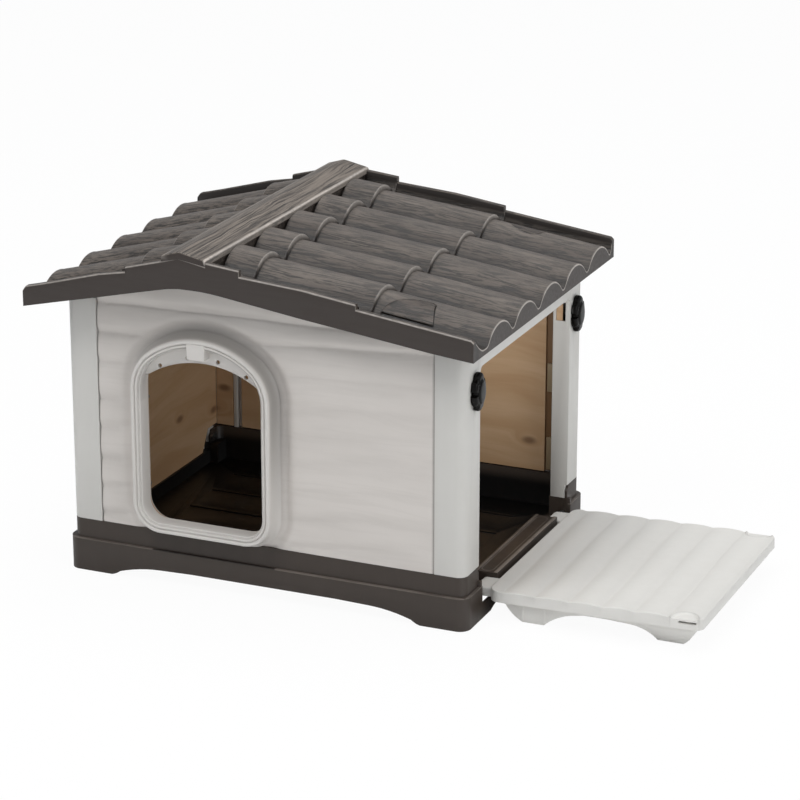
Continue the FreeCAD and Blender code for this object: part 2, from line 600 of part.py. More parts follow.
def roof_pads():
    """Feet inside the roof: four on the post tops and two on the screw bosses."""
    pads = []
    for x in (-315.0, 313.0):
        pads += both_y(box(x - 11, x + 11, 200, 232, POST_TOP, 480))
    x, y = ROOF_SCREW
    pads += both_y(box(x - 8, x + 8, y - 8, RIM_Y - WALL_SKIN - 0.2, BOSS_TOP, 490))
    return [pad.common(tile_bed(1.0, 0.0)) for pad in pads]


def roof_shell():
    solid = fuse([tile_bed(0.0, 0.0), fascia(0.0, -ROOF_Y, -RIM_IN_Y, 0.0),
                  fascia(0.0, RIM_IN_Y, ROOF_Y, 0.0)])
    solid = solid.common(under_fascia())
    inside = tile_bed(ROOF_SKIN, ROOF_SKIN).common(
        box(ROOF_LEFT, ROOF_RIGHT, -RIM_IN_Y + 0.5, RIM_IN_Y - 0.5, 380, 600))
    floor = COVER_THICK + 0.4
    seats = [cover_outline(side, 3.0).cut(tile_bed(floor + 4.0, 0.0)) for side in (-1, 1)]
    inside = inside.cut(seats)
    side = fascia(8.0, RIM_IN_Y - 1, FASCIA_IN_Y, ROOF_SKIN)
    shell = fuse([solid.cut([inside] + both_y(side))] + roof_pads())
    recesses = [cover_outline(side, COVER_GAP).cut(tile_bed(floor, 0.0)) for side in (-1, 1)]
    return shell.cut(recesses + [roof_screw(-1), roof_screw(1)])


def ridge_cap():
    (x0, z0), (x1, z1), (x2, z2) = CAP_LEFT, CAP_RIDGE, CAP_RIGHT
    t, s = CAP_THICK, CAP_SKIN
    outer = [(x0, z0 - t), (x0, z0 - 1.5), (x0 + 1.5, z0), (x1 - 6, z1 - 1.6), ((x1, z1), (x1 + 7, z1 - 1.2)),
             (x2 - 1.5, z2), (x2, z2 - 1.5), (x2, z2 - t), (x1, z1 - t)]
    cap = sweep("xz", outer, -ROOF_Y, ROOF_Y)
    inner = [(x0 + s, z0 - t - 2), (x0 + s, z0 - s), (x1, z1 - s - 1), (x2 - s, z2 - s),
             (x2 - s, z2 - t - 2), (x1, z1 - t - 2)]
    return cap.cut(sweep("xz", inner, -ROOF_Y + s, ROOF_Y - s))


# ---- porch --------------------------------------------------------------------------
def panel_block(inset, low, high):
    """Block with the outline of the tread, its hinge end more rounded than its outer end."""
    x0, x1 = PIVOT_X + PANEL_IN + inset, PIVOT_X + PANEL_OUT - inset
    half, r, q = PANEL_HALF - inset, PANEL_R - inset, PANEL_IN_R - inset
    k, m = r * (1 - math.sqrt(0.5)), q * (1 - math.sqrt(0.5))
    steps = [(x0 + q, -half), (x1 - r, -half), ((x1 - k, -half + k), (x1, -half + r)),
             (x1, half - r), ((x1 - k, half - k), (x1 - r, half)),
             (x0 + q, half), ((x0 + m, half - m), (x0, half - q)),
             (x0, -half + q), ((x0 + m, -half + m), (x0 + q, -half))]
    return sweep("xy", steps, low, high)


def porch_panel():
    """Tread of the porch: waved top, hollow underneath, two hinge lugs."""
    x0, x1 = PIVOT_X + PANEL_IN, PIVOT_X + PANEL_OUT
    top, bottom, half = PIVOT_Z + PANEL_TOP, PIVOT_Z + PANEL_BOTTOM, PANEL_HALF
    low_top = top - WAVE_DEPTH
    pitch = (x1 - x0) / WAVES
    shape = [(x0, bottom - 1), (x1, bottom - 1), (x1, low_top)]
    for i in range(WAVES):
        xa = x1 - pitch * i
        shape.append(((xa - pitch / 2, top), (xa - pitch, low_top)))
    panel = panel_block(0.0, bottom, top).common(sweep("xz", shape, -half - 1, half + 1))
    s = PANEL_SKIN
    panel = panel.cut(panel_block(s, bottom - 1, low_top - s))
    lugs = both_y(box(PIVOT_X, x0 + s, LUG_IN_Y, LUG_OUT_Y, bottom, low_top))
    lugs += both_y(rod("y", (PIVOT_X, PIVOT_Z), LUG_R, LUG_IN_Y, LUG_OUT_Y))
    centre = PIVOT_X + CATCH_OUT
    catch = both_y(box(centre - 24, centre + 24, half - 24, half - 1, bottom, low_top - 1))
    panel = fuse([panel] + lugs + catch)
    cuts = both_y(rod("y", (PIVOT_X, PIVOT_Z), PIN_R + PIN_GAP, LUG_IN_Y - 1, LUG_OUT_Y + 1))
    # when the panel is shut, the cam of each knob lies in this slot
    slot_low = PIVOT_Z + PIVOT_X - CAM_OUT_X - CAM_PLAY
    slot_high = PIVOT_Z + PIVOT_X - CAM_IN_X + CAM_PLAY
    cuts += both_y(box(centre - 11, centre + 21, half - 11, half + 1, slot_low, slot_high))
    dish = rod("z", (centre, half), CATCH_R, top - 1.5, top + 1)
    cuts += both_y(dish.common(box(x0, x1, half - 23, half - 3, top - 2, top + 2)))
    panel = panel.cut(cuts + porch_screws_flat())
    return turned(panel, PANEL_TILT)


def foot_outline(lift_by):
    """Side view of the feet under the porch, on the ground when the porch is down."""
    z = lift_by
    return [(350.0, 29.0), (366.0, 24.0), ((380.0, 8.0), (393.0, z)), (427.0, z),
            ((445.0, 13.0), (468.0, 22.0)), (490.0, 26.0), (530.0, 26.0), (563.0, 23.6),
            ((583.0, 17.0), (600.0, z)), (640.0, z), ((652.0, 12.0), (664.0, 33.0)), (350.0, 31.5)]


def leg_taper(shift):
    """What is cut off the outer feet, which lean inwards down to the ground."""
    y = LEG_OUT_Y - shift
    return sweep("yz", [(y, 26), (y + 20, 26), (y + 20, -1), (y - 16, -1)], LEG_TAPER_X, 680.0)


def porch_underframe():
    """Hollow lower shell of the porch with its feet."""
    skirt = sweep("xz", foot_outline(0.0), LEG_IN_Y, LEG_OUT_Y).cut(leg_taper(0.0))
    hollow = sweep("xz", foot_outline(3.0), LEG_IN_Y + 3, LEG_OUT_Y - 3).cut(leg_taper(4.0))
    side = skirt.cut(hollow.common(box(370.0, 657.0, 100, 200, 3, 60)))
    fins = [box(x, x + 3.0, LEG_OUT_Y - 1, LEG_OUT_Y + 1.2, 3.0, 32.0) for x in (391.5, 426.5)]
    legs = both_y(fuse([side] + fins))
    ribs = []
    for x in (392.0, 426.0, 600.0, 638.0):
        arch = [(-160.0, 2.0), (-150.0, 2.0), ((-135.0, 14.0), (-110.0, 20.0)), (110.0, 20.0),
                ((135.0, 14.0), (150.0, 2.0)), (160.0, 2.0), (160.0, 31.0), (-160.0, 31.0)]
        ribs.append(sweep("yz", arch, x, x + 3.0))
    frame = fuse(legs + ribs)
    panel_under = turned(box(300, 700, -200, 200, PIVOT_Z + PANEL_BOTTOM, 120), PANEL_TILT)
    return frame.cut(panel_under)


def porch_screws_flat():
    """Four screws that join the two shells of the porch, before the tilt."""
    screws = []
    for x in PORCH_SCREW_X:
        for y in (-PORCH_SCREW_Y, PORCH_SCREW_Y):
            screws.append(rod("z", (x, y), 2.0, PIVOT_Z + PANEL_BOTTOM - 1, PIVOT_Z + 3.0))
    return screws


# ---- turn knobs ---------------------------------------------------------------------
def knob_outline(scale):
    """Oval with shallow lobes, long way up and down."""
    steps = []
    n = KNOB_LOBES

    def at(i, factor):
        a = 2 * math.pi * i / n
        return (-KNOB_Y + KNOB_SHORT * factor * scale * math.cos(a),
                KNOB_Z + KNOB_LONG * factor * scale * math.sin(a))

    steps.append(at(0.5, 0.93))
    for i in range(1, n + 1):
        steps.append((at(i, 1.0), at(i + 0.5, 0.93)))
    return steps


def latch_knob():
    plate = sweep("yz", knob_outline(1.0), KNOB_IN_X, KNOB_OUT_X - 4)
    crown = sweep("yz", knob_outline(0.82), KNOB_OUT_X - 4.5, KNOB_OUT_X)
    spindle = rod("x", (-KNOB_Y, KNOB_Z), SPINDLE_R, SPINDLE_IN_X + 4.5, KNOB_IN_X + 1)
    square = box(SPINDLE_IN_X, SPINDLE_IN_X + 5, -KNOB_Y - 3.5, -KNOB_Y + 3.5, KNOB_Z - 3.5, KNOB_Z + 3.5)
    return fuse([plate, crown, spindle, square]).cut(latch_screw())


def latch_cam():
    """Flat lever inside the post: it points up at rest and swings into the panel's edge."""
    blade = rounded("yz", -KNOB_Y - CAM_HALF, -KNOB_Y + CAM_HALF, KNOB_Z - 9.0, KNOB_Z + CAM_REACH,
                    4.0, CAM_IN_X, CAM_OUT_X)
    hole = box(CAM_IN_X - 1, CAM_OUT_X + 1, -KNOB_Y - 3.5, -KNOB_Y + 3.5, KNOB_Z - 3.5, KNOB_Z + 3.5)
    return blade.cut(hole)


def latch_screw():
    shank = rod("x", (-KNOB_Y, KNOB_Z), 1.5, SPINDLE_IN_X, SPINDLE_IN_X + 9)
    head = rod("x", (-KNOB_Y, KNOB_Z), 5.0, SPINDLE_IN_X - 2.5, SPINDLE_IN_X)
    return shank.fuse(head)


# ---- output -------------------------------------------------------------------------
def save(name, shape):
    placed = shape.copy()
    placed.translate(Vec(SHIFT_X, 0, 0))
    solids = placed.Solids
    if not placed.isValid():
        print("NOT VALID", name)
    result = solids[0] if len(solids) == 1 else Part.makeCompound(solids)
    result.exportStep("parts/%s.step" % name)
    b = placed.BoundBox
    print("%-22s %2d  %7.1f cm3  x %7.1f %7.1f  y %7.1f %7.1f  z %6.1f %6.1f"
          % (name, len(solids), placed.Volume / 1000, b.XMin, b.XMax, b.YMin, b.YMax, b.ZMin, b.ZMax))


def main():
    os.makedirs("parts", exist_ok=True)
    save("base_tray", base_tray())
    save("drain_plug", drain_plug())
    save("corner_post_front_right", right_post())
    save("corner_post_back_right", flip_y(right_post()))
    save("corner_post_front_left", left_post())
    save("corner_post_back_left", flip_y(left_post()))
    save("post_screws", Part.makeCompound([post_screw(s, y) for s, y in post_screw_places()]))
    save("header_rail", header_rail())
    save("front_wall", front_wall())
    save("back_wall", end_wall(1))
    save("left_wall", left_wall())
    save("lining_front", lining_front())
    save("lining_back", main_lining(1))
    save("lining_corner_front", corner_lining(-1))
    save("lining_corner_back", corner_lining(1))
    save("lining_left", lining_left())
    save("lining_clips", lining_clips())
    save("door_frame_outer", door_frame_outer())
    save("door_frame_inner", door_frame_inner())
    save("door_frame_screws", Part.makeCompound(door_screws()))
    save("roof_shell", roof_shell())
    save("ridge_cap", ridge_cap())
    save("roof_cover_front", roof_cover(-1))
    save("roof_cover_back", roof_cover(1))
    save("roof_screws", Part.makeCompound([roof_screw(-1), roof_screw(1)]))
    save("hinge_pins", Part.makeCompound(both_y(
        rod("y", (PIVOT_X, PIVOT_Z), PIN_R, RECESS_Y - 6, OPENING_Y + 6))))
    save("porch_panel", porch_panel())
    save("porch_underframe", porch_underframe())
    save("porch_screws", Part.makeCompound([turned(s, PANEL_TILT) for s in porch_screws_flat()]))
    save("latch_knob_front", latch_knob())
    save("latch_knob_back", flip_y(latch_knob()))
    save("latch_cam_front", latch_cam())
    save("latch_cam_back", flip_y(latch_cam()))
    save("latch_screw_front", latch_screw())
    save("latch_screw_back", flip_y(latch_screw()))


main()
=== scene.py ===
"""Looks of a plastic dog house with a tiled gable roof, an arched door and a fold-down porch."""

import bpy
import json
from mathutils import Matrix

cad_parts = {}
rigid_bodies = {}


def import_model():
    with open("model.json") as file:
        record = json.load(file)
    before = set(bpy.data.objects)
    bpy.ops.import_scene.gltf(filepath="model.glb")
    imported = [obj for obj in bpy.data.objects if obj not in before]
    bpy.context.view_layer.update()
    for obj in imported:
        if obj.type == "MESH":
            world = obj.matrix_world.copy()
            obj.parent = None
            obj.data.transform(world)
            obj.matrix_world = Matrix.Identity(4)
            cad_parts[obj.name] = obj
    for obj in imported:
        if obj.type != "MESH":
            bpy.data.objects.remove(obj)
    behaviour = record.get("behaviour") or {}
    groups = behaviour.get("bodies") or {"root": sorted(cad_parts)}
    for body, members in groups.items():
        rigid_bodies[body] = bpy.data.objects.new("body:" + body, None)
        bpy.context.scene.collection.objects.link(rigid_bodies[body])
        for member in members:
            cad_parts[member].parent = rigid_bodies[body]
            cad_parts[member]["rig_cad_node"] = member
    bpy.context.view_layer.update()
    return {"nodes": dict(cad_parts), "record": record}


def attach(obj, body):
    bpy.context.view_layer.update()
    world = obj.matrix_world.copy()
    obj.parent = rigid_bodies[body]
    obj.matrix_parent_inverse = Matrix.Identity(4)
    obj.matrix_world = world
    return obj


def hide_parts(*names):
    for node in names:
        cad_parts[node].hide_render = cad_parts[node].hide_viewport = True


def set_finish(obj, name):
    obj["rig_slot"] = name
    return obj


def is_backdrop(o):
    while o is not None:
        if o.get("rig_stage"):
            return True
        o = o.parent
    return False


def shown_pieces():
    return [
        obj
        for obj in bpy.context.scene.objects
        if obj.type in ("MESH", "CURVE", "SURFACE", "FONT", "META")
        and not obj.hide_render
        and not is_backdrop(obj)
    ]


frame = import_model()
NODE_SLOTS = {part["node"]: part["material_slot"] for part in frame["record"]["subparts"]}

import json
import math

import bmesh
import bpy
import numpy as np
from mathutils import Vector

# ---- sizes in millimetres, measured from the middle of the house on the ground --------
SHIFT_X = -152.0                      # from the middle of the house to the frame's origin
MM = 0.001

FLAT_ANGLE, BEVEL_ANGLE = 0.6, 32.0   # degrees: merged as flat, and rounded off

ROOF_Y, FASCIA_IN_Y, RIM_Y = 295.0, 291.0, 285.5
ROOF_LEFT, ROOF_RIGHT = -371.0, 359.0
TILE_PITCH, FIRST_TILE, TILE_HALF, TILE_R = 104.5, -192.0, 44.0, 58.4
VALLEY_R, VALLEY_DEPTH, TILE_SKIN = 10.95, 23.75, 4.0
# upper x, crest there, lower x, crest there
COURSES = ((-63.0, 535.0, -10.0, 529.3), (-10.0, 520.9, 178.0, 500.6), (178.0, 493.3, 359.0, 469.0),
           (-132.0, 530.9, -206.0, 512.1), (-206.0, 503.9, -371.0, 460.0))
CAP_LEFT, CAP_TOP_X, CAP_RIGHT = -135.5, -107.0, -63.4
PLATFORM_Z = 528.0
# half-moon plates, by side: y of the straight edge, and how far the round edge reaches from it
COVER_Y, COVER_REACH, COVER_TRIM_Y = {-1: 239.5, 1: 274.0}, {-1: 50.0, 1: 60.0}, -232.5
FASCIA_TOP = ((-371.0, 458.0), (-366.0, 465.0), (-337.0, 472.0), (-238.0, 499.0), (-196.0, 506.5),
              (-195.9, 514.0), (-135.5, 530.0), (-107.0, 538.4), (-63.4, 529.4), (-63.3, 535.0),
              (-10.0, 529.5), (-9.9, 520.4), (88.9, 512.7), (175.7, 500.8), (175.8, 493.3),
              (355.0, 469.6), (359.0, 466.0))
FASCIA_BOTTOM = ((-371.0, 432.6), (-291.0, 451.0), (-248.0, 460.5), (-188.0, 474.6), (-142.0, 485.0),
                 (-125.0, 488.6), (-108.0, 490.5), (-76.0, 490.5), (-50.0, 488.5), (88.5, 469.0),
                 (298.5, 442.0), (359.0, 436.0))

WALL_Y, WALL_BACK = 243.7, 236.7
SEAM_LEFT, SEAM_RIGHT = -276.1, 278.4
TRAY_TOP, LEFT_SILL, POST_TOP = 82.9, 50.0, 442.0
WALL_TOP = ((-276.1, 454.5), (-204.0, 475.0), (-135.0, 498.0), (-107.0, 500.0), (-63.0, 500.0),
            (-9.0, 489.5), (180.0, 461.0), (278.4, 447.8))
# heights of the board joints at the left and at the right end of the front wall
JOINTS = ((433.0, 446.0), (385.0, 419.0), (341.0, 369.0), (281.0, 327.0), (234.0, 289.0), (182.0, 247.0),
          (140.0, 200.0), (96.0, 158.0), (50.0, 116.0))

DOOR_X, DOOR_Z, DOOR_HALF = -92.8, 88.5, 115.2
DOOR_LOW_R, DOOR_SIDE_R, DOOR_SIDE_Z = 45.0, 75.0, 315.9
DOOR_TOP_R, DOOR_TOP_Z, DOOR_LIP = 140.0, 264.7, 15.0
DOOR_MIDDLE = np.array([DOOR_X, 240.0])   # where the rays of the front wall start

PIVOT_X, PIVOT_Z = 319.35, 36.0
PANEL_IN, PANEL_OUT, PANEL_HALF = 21.35, 355.65, 186.0
PANEL_TOP, PANEL_BOTTOM, PANEL_R, PANEL_IN_R, PANEL_TILT = 11.0, -7.65, 13.0, 18.0, 1.1
CATCH_OUT, CATCH_R = 328.65, 22.0
LUG_IN_Y, LUG_OUT_Y = 129.0, 172.0

KNOB_Y, KNOB_Z = 208.0, 364.0
KNOB_LONG, KNOB_SHORT = 29.4, 19.7
PLACE = {-1: "front", 1: "back"}

# ---- colours, as 0 to 255 -------------------------------------------------------------
ROOF_PALE, ROOF_MID, ROOF_INK, ROOF_PLAIN = (100, 91, 83), (82, 73, 66), (32, 27, 23), (54, 46, 41)
BASE_PALE, BASE_DARK = (60, 51, 44), (48, 40, 34)
WALL_PALE, WALL_MID = (214, 208, 202), (205, 199, 193)
PINE_PALE, PINE_MID = (206, 174, 138), (190, 154, 116)
# the darkest roof colour here is painted shade for hollows; the palest is abrasion with painted highlights
ROOF_SHADE, ROOF_WEAR_HIGHLIGHT, CAP_STREAK = (20, 17, 15), (202, 194, 186), (226, 212, 196)
# the pale base colour here is a painted highlight; the two dark ones are painted shade for the groove and for
# the floor inside
BASE_HIGHLIGHT, BASE_GROOVE_SHADE, BASE_INSIDE_SHADE = (150, 140, 131), (24, 20, 18), (9, 8, 8)
# the two darker colours here are painted shade, for the boarded walls and for moulded pieces
WALL_GRAIN, WALL_HOLLOW_SHADE, HOLLOW_SHADE = (176, 170, 163), (96, 91, 87), (104, 99, 94)
PINE_FIBRE, PINE_KNOT, PINE_SHADED = (170, 136, 100), (104, 70, 44), (122, 92, 62)
POST_PALE, POST_DARK = (208, 206, 201), (196, 193, 187)
FRAME_PALE, FRAME_DARK = (211, 207, 202), (199, 194, 188)
PORCH_PALE, PORCH_DARK = (221, 219, 214), (208, 205, 199)
# colours of the lining clips: a darker copy of the post plastic, painted shade
CLIP_SHADED_PALE, CLIP_SHADED_DARK = (152, 134, 106), (142, 124, 98)

# knots in the boards (x, y, z), and how much flatter than long they are
KNOTS = ((-318.0, 96.0, 135.0), (-318.0, 219.0, 113.0), (-300.0, 232.0, 150.0), (245.0, 232.0, 134.0),
         (-40.0, 232.0, 300.0), (-318.0, -60.0, 320.0), (60.0, -232.0, 250.0))
KNOT_FLAT = 1.9

# ---- edges of nodes that are shown as they are, rounded by so many millimetres ----------
ROUNDED = (("base_tray", 1.6), ("corner_post_front_right", 1.5), ("corner_post_back_right", 1.5),
           ("corner_post_front_left", 1.2), ("corner_post_back_left", 1.2), ("header_rail", 1.5),
           ("lining_clips", 0.8), ("door_frame_inner", 1.0), ("drain_plug", 0.6))

# ---- studio ---------------------------------------------------------------------------
LENS, SENSOR = 141.2, 36.0
CAMERA_SPOT, CAMERA_AIM = (1934.9, -4211.95, 1822.9), (118.67, 0.0, 256.96)
WORLD_COLOUR, WORLD_STRENGTH = (0.93, 0.96, 1.0, 1), 0.42
FLOOR_HALF, FLOOR_Z, FLOOR_GREY, FLOOR_WHITE = 6.0, -0.0012, 0.92, 0.95
# name, place and target in metres, size in metres, power in watts
LAMPS = (("key", (-1.5, -2.7, 4.7), (-0.1, 0.0, 0.25), 2.0, 84.0),
         ("top", (0.3, 0.6, 4.6), (0.0, 0.0, 0.3), 3.0, 96.0),
         ("fill", (3.6, -1.6, 2.0), (0.0, 0.0, 0.2), 2.4, 42.0),
         ("inside", (0.02, -0.06, 0.39), (0.0, 0.15, 0.2), 0.14, 0.34))


# ---- mesh tools -----------------------------------------------------------------------
def in_scene(points):
    """Millimetres about the house to metres in the frame."""
    points = np.asarray(points, float)
    return (points + np.array([SHIFT_X, 0.0, 0.0])) * MM


def places(piece):
    """Places of a piece's vertices about the house in millimetres, as x, y and z."""
    flat = np.empty(len(piece.data.vertices) * 3)
    piece.data.vertices.foreach_get("co", flat)
    return (flat.reshape(-1, 3) / MM - np.array([SHIFT_X, 0.0, 0.0])).T


def linked(name, data):
    """New object in the scene."""
    made = bpy.data.objects.new(name, data)
    bpy.context.scene.collection.objects.link(made)
    return made


def smooth(mesh, sharp):
    """Smooth shading, apart from edges that turn by more than the sharp angle in degrees."""
    mesh.shade_smooth()
    mesh.set_sharp_from_angle(angle=math.radians(sharp))


def applied(piece):
    """Makes the result of a piece's modifiers its own mesh."""
    bpy.context.view_layer.update()
    graph = bpy.context.evaluated_depsgraph_get()
    result = bpy.data.meshes.new_from_object(piece.evaluated_get(graph))
    piece.modifiers.clear()
    piece.data = result
    return piece


def bevelled(piece, width, segments):
    """Bevel modifier with its width in millimetres."""
    bevel = piece.modifiers.new("edges", "BEVEL")
    bevel.width, bevel.segments = width * MM, segments
    return bevel


def finish_mesh(name, verts, faces, sharp=35.0):
    """New piece from points in metres and faces."""
    mesh = bpy.data.meshes.new(name)
    mesh.from_pydata(verts.tolist(), [], faces)
    mesh.validate()
    smooth(mesh, sharp)
    return linked(name, mesh)


def quads(rows, columns, start=0, wrap_rows=False, wrap_columns=False, flip=False):
    """Four-cornered faces of a grid whose points are numbered row by row."""
    r = np.arange(rows if wrap_rows else rows - 1)
    c = np.arange(columns if wrap_columns else columns - 1)
    r, c = np.meshgrid(r, c, indexing="ij")
    r2, c2 = (r + 1) % rows, (c + 1) % columns
    face = np.stack([r * columns + c, r2 * columns + c, r2 * columns + c2, r * columns + c2], -1)
    face = face.reshape(-1, 4) + start
    return face[:, ::-1] if flip else face


def slab(name, outer, inner, ring=False, flip=False, sharp=35.0):
    """A sheet with thickness: an outer grid and an inner grid of points, stitched along
    their free edges.  With ring the first index runs round and closes on itself."""
    rows, columns = outer.shape[:2]
    count = rows * columns
    verts = np.concatenate([outer.reshape(-1, 3), inner.reshape(-1, 3)])
    faces = [quads(rows, columns, wrap_rows=ring),
             quads(rows, columns, count, wrap_rows=ring, flip=True)]
    index = np.arange(count).reshape(rows, columns)
    edges = [index[:, 0][::-1], index[:, -1]]
    if ring:
        edges = [np.append(e, e[0]) for e in edges]
    else:
        edges += [index[0, :], index[-1, :][::-1]]
    for edge in edges:
        a, b = edge[:-1], edge[1:]
        faces.append(np.stack([a, b, b + count, a + count], -1))
    faces = np.concatenate(faces)
    if flip:
        faces = faces[:, ::-1]
    return finish_mesh(name, in_scene(verts), faces.tolist(), sharp)


def paint(piece, name, values):
    """Stores one number per vertex for the materials."""
    layer = piece.data.attributes.new(name, "FLOAT", "POINT")
    layer.data.foreach_set("value", np.asarray(values, np.float32).ravel())


def outwards(piece):
    """Makes every face of a closed piece point outwards."""
    mesh = bmesh.new()
    mesh.from_mesh(piece.data)
    bmesh.ops.remove_doubles(mesh, verts=mesh.verts, dist=1e-6)
    bmesh.ops.recalc_face_normals(mesh, faces=mesh.faces)
    mesh.to_mesh(piece.data)
    mesh.free()
    return piece


def settle(piece, body, slot, *nodes):
    """Fixes a piece to a body, names its finish and the nodes that it stands in for."""
    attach(piece, body)
    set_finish(piece, slot)
    if nodes:
        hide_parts(*nodes)
    return piece


def carve(piece, cutters):
    """Cuts closed helper shapes out of a piece and removes them."""
    for cutter in cutters:
        cut = piece.modifiers.new("cut", "BOOLEAN")
        cut.operation, cut.solver, cut.object = "DIFFERENCE", "EXACT", cutter
    applied(piece)
    for cutter in cutters:
        bpy.data.objects.remove(cutter)
    return piece


def softened(node, width):
    """Copy of a node with its sharp edges rounded, standing in for the node."""
    mesh = bmesh.new()
    mesh.from_mesh(frame["nodes"][node].data)
    bmesh.ops.remove_doubles(mesh, verts=mesh.verts, dist=2e-6)
    flat = math.radians(FLAT_ANGLE)
    bmesh.ops.dissolve_limit(mesh, angle_limit=flat, verts=mesh.verts, edges=mesh.edges)
    data = bpy.data.meshes.new("soft_" + node)
    mesh.to_mesh(data)
    mesh.free()
    piece = linked("soft_" + node, data)
    data.shade_smooth()
    bevel = bevelled(piece, width, 2)
    bevel.limit_method, bevel.angle_limit = "ANGLE", math.radians(BEVEL_ANGLE)
    bevel.use_clamp_overlap, bevel.harden_normals = True, False
    applied(piece)
    smooth(piece.data, 40.0)
    return piece


def near_ends(low, high, step, fine):
    """Positions from low to high, with the given fine distances at both ends."""
    fine = np.array(fine)
    middle = np.arange(low + fine[-1] + step / 2, high - fine[-1] - step / 2 + 1e-6, step)
    return np.concatenate([low + fine, middle, (high - fine)[::-1]])


# ---- roof -----------------------------------------------------------------------------
def tile_number(y):
    """Number of the tile row nearest to each y, 0 at the front and 4 at the back."""
    return np.clip(np.round((y - FIRST_TILE) / TILE_PITCH), 0, 4)


def tile_depth(y):
    """Depth below the crest: a round arch on each tile centre, joined by a round valley;
    beside the front and back rims a hollow curve climbs to the rim."""
    last = FIRST_TILE + 4 * TILE_PITCH
    nearest = FIRST_TILE + TILE_PITCH * tile_number(y)
    d = np.abs(y - nearest)
    arch = TILE_R - np.sqrt(np.maximum(TILE_R ** 2 - np.minimum(d, TILE_HALF) ** 2, 0))
    v = np.clip(TILE_PITCH / 2 - d, 0, VALLEY_R * 0.999)
    valley = VALLEY_DEPTH - (VALLEY_R - np.sqrt(VALLEY_R ** 2 - v ** 2))
    depth = np.where(d <= TILE_HALF, arch, valley)
    front = np.clip((-255.0 - y) / 30.0, 0, 1)
    depth = np.where(y < FIRST_TILE - TILE_PITCH / 2, VALLEY_DEPTH - 18.0 * front ** 1.6, depth)
    back = np.clip((y - last - TILE_PITCH / 2) / 7.0, 0, 1)
    return np.where(y > last + TILE_PITCH / 2, VALLEY_DEPTH - 17.0 * back ** 2, depth)


def course_of(x):
    """Number of the course that covers each x, or -1 on the ridge."""
    index = np.full(x.shape, -1)
    for i, (x0, _, x1, _) in enumerate(COURSES):
        index[(x >= min(x0, x1)) & (x <= max(x0, x1))] = i
    return index


def roof_stations():
    """Places along the slope: close together beside each step, far apart in between."""
    marks = [-206.0, -135.5, -132.0, -66.0, -63.0, -10.0, 178.0]
    fine = np.array([0.02, 0.45, 0.9, 1.6, 2.6, 4.0, 6.5])
    near = np.concatenate([m + s * fine for m in marks for s in (-1, 1)])
    seams = [s + d for s in (-195.95, -9.95, 175.75) for d in (-0.1, 0.1)]
    ends = np.concatenate([ROOF_LEFT + fine[1:], ROOF_RIGHT - fine[1:]])
    xs = np.concatenate([near, seams, ends, np.arange(-350.0, 350.0, 22.0), [ROOF_LEFT, ROOF_RIGHT]])
    return np.unique(np.round(xs, 3))


def crest_height(x):
    """Height of the crests along the slope, with each lower end turned down as a narrow lip."""
    z = np.full(x.shape, PLATFORM_Z)
    to_lip, to_step = np.full(x.shape, 99.0), np.full(x.shape, 99.0)
    for x0, z0, x1, z1 in COURSES:
        on = (x >= min(x0, x1)) & (x <= max(x0, x1))
        line = z0 + (z1 - z0) * (x - x0) / (x1 - x0)
        gap = np.abs(x - x1)
        r = 1.1
        bead = 0.5 * np.exp(-((gap - 2.6) / 1.7) ** 2)
        drop = np.where(gap < r, r - np.sqrt(np.maximum(r * r - (r - gap) ** 2, 0)), 0)
        z = np.where(on, line + bead - drop, z)
        to_lip = np.where(on, gap, to_lip)
        to_step = np.where(on, np.abs(x - x0), to_step)
    seat = (x > -66.0) & (x < -63.0)
    z = np.where(seat, 535.0 - 0.107 * (x + 63.0), z)
    rise = np.clip((x + 63.0) / 0.6, 0, 1)
    swell = np.where(x > -66.0, rise, 1.0)
    return z, to_lip, to_step, swell


def tile_height(x, y):
    """Height of the tiles at a place, and how deep it lies below the crest."""
    crest, _, _, swell = crest_height(x)
    depth = tile_depth(y) * swell + VALLEY_DEPTH * (1 - swell)
    depth = np.where((x >= -134.5) & (x <= -66.0), 0.0, depth)
    return crest - depth, depth


def arc_points(a, b, c, count=12):
    """Points on the circle through three points, from the first to the last."""
    (ax, ay), (bx, by), (cx, cy) = a, b, c
    d = 2 * (ax * (by - cy) + bx * (cy - ay) + cx * (ay - by))
    aa, bb, cc = ax * ax + ay * ay, bx * bx + by * by, cx * cx + cy * cy
    mx = (aa * (by - cy) + bb * (cy - ay) + cc * (ay - by)) / d
    my = (aa * (cx - bx) + bb * (ax - cx) + cc * (bx - ax)) / d
    r = math.hypot(ax - mx, ay - my)
    t = [math.atan2(py - my, px - mx) for px, py in (a, b, c)]
    turn = (t[2] - t[0]) % (2 * math.pi)
    if (t[1] - t[0]) % (2 * math.pi) > turn:
        turn -= 2 * math.pi
    return [(mx + r * math.cos(t[0] + turn * k / count), my + r * math.sin(t[0] + turn * k / count))
            for k in range(count + 1)]


def cover_pocket(side):
    """Upright plug with the outline of a half-moon plate and the gap around it."""
    gap, front, right = 0.9, 2.8, 2.0
    y0 = -COVER_Y[side] - front
    reach = COVER_REACH[side] + front + gap
    crown = (245.0, y0 + reach)
    path = [(188.0 - gap, y0), (273.0 + right, y0)]
    path += arc_points((261.0 + right, y0 + reach * 0.74), (257.5 + gap, y0 + reach * 0.93), crown)
    path += arc_points(crown, (206.0 - gap, y0 + reach * 0.64), (189.0 - gap, y0 + reach * 0.1))[1:]
    path = np.array(path)
    if side > 0:
        path = path * np.array([1.0, -1.0])
    n = len(path)
    verts = np.concatenate([np.column_stack([path, np.full(n, z)]) for z in (425.0, 545.0)])
    faces = [list(range(n))[::-1], list(range(n, 2 * n))]
    faces += [[i, (i + 1) % n, n + (i + 1) % n, n + i] for i in range(n)]
    return outwards(finish_mesh("pocket", in_scene(verts), faces))


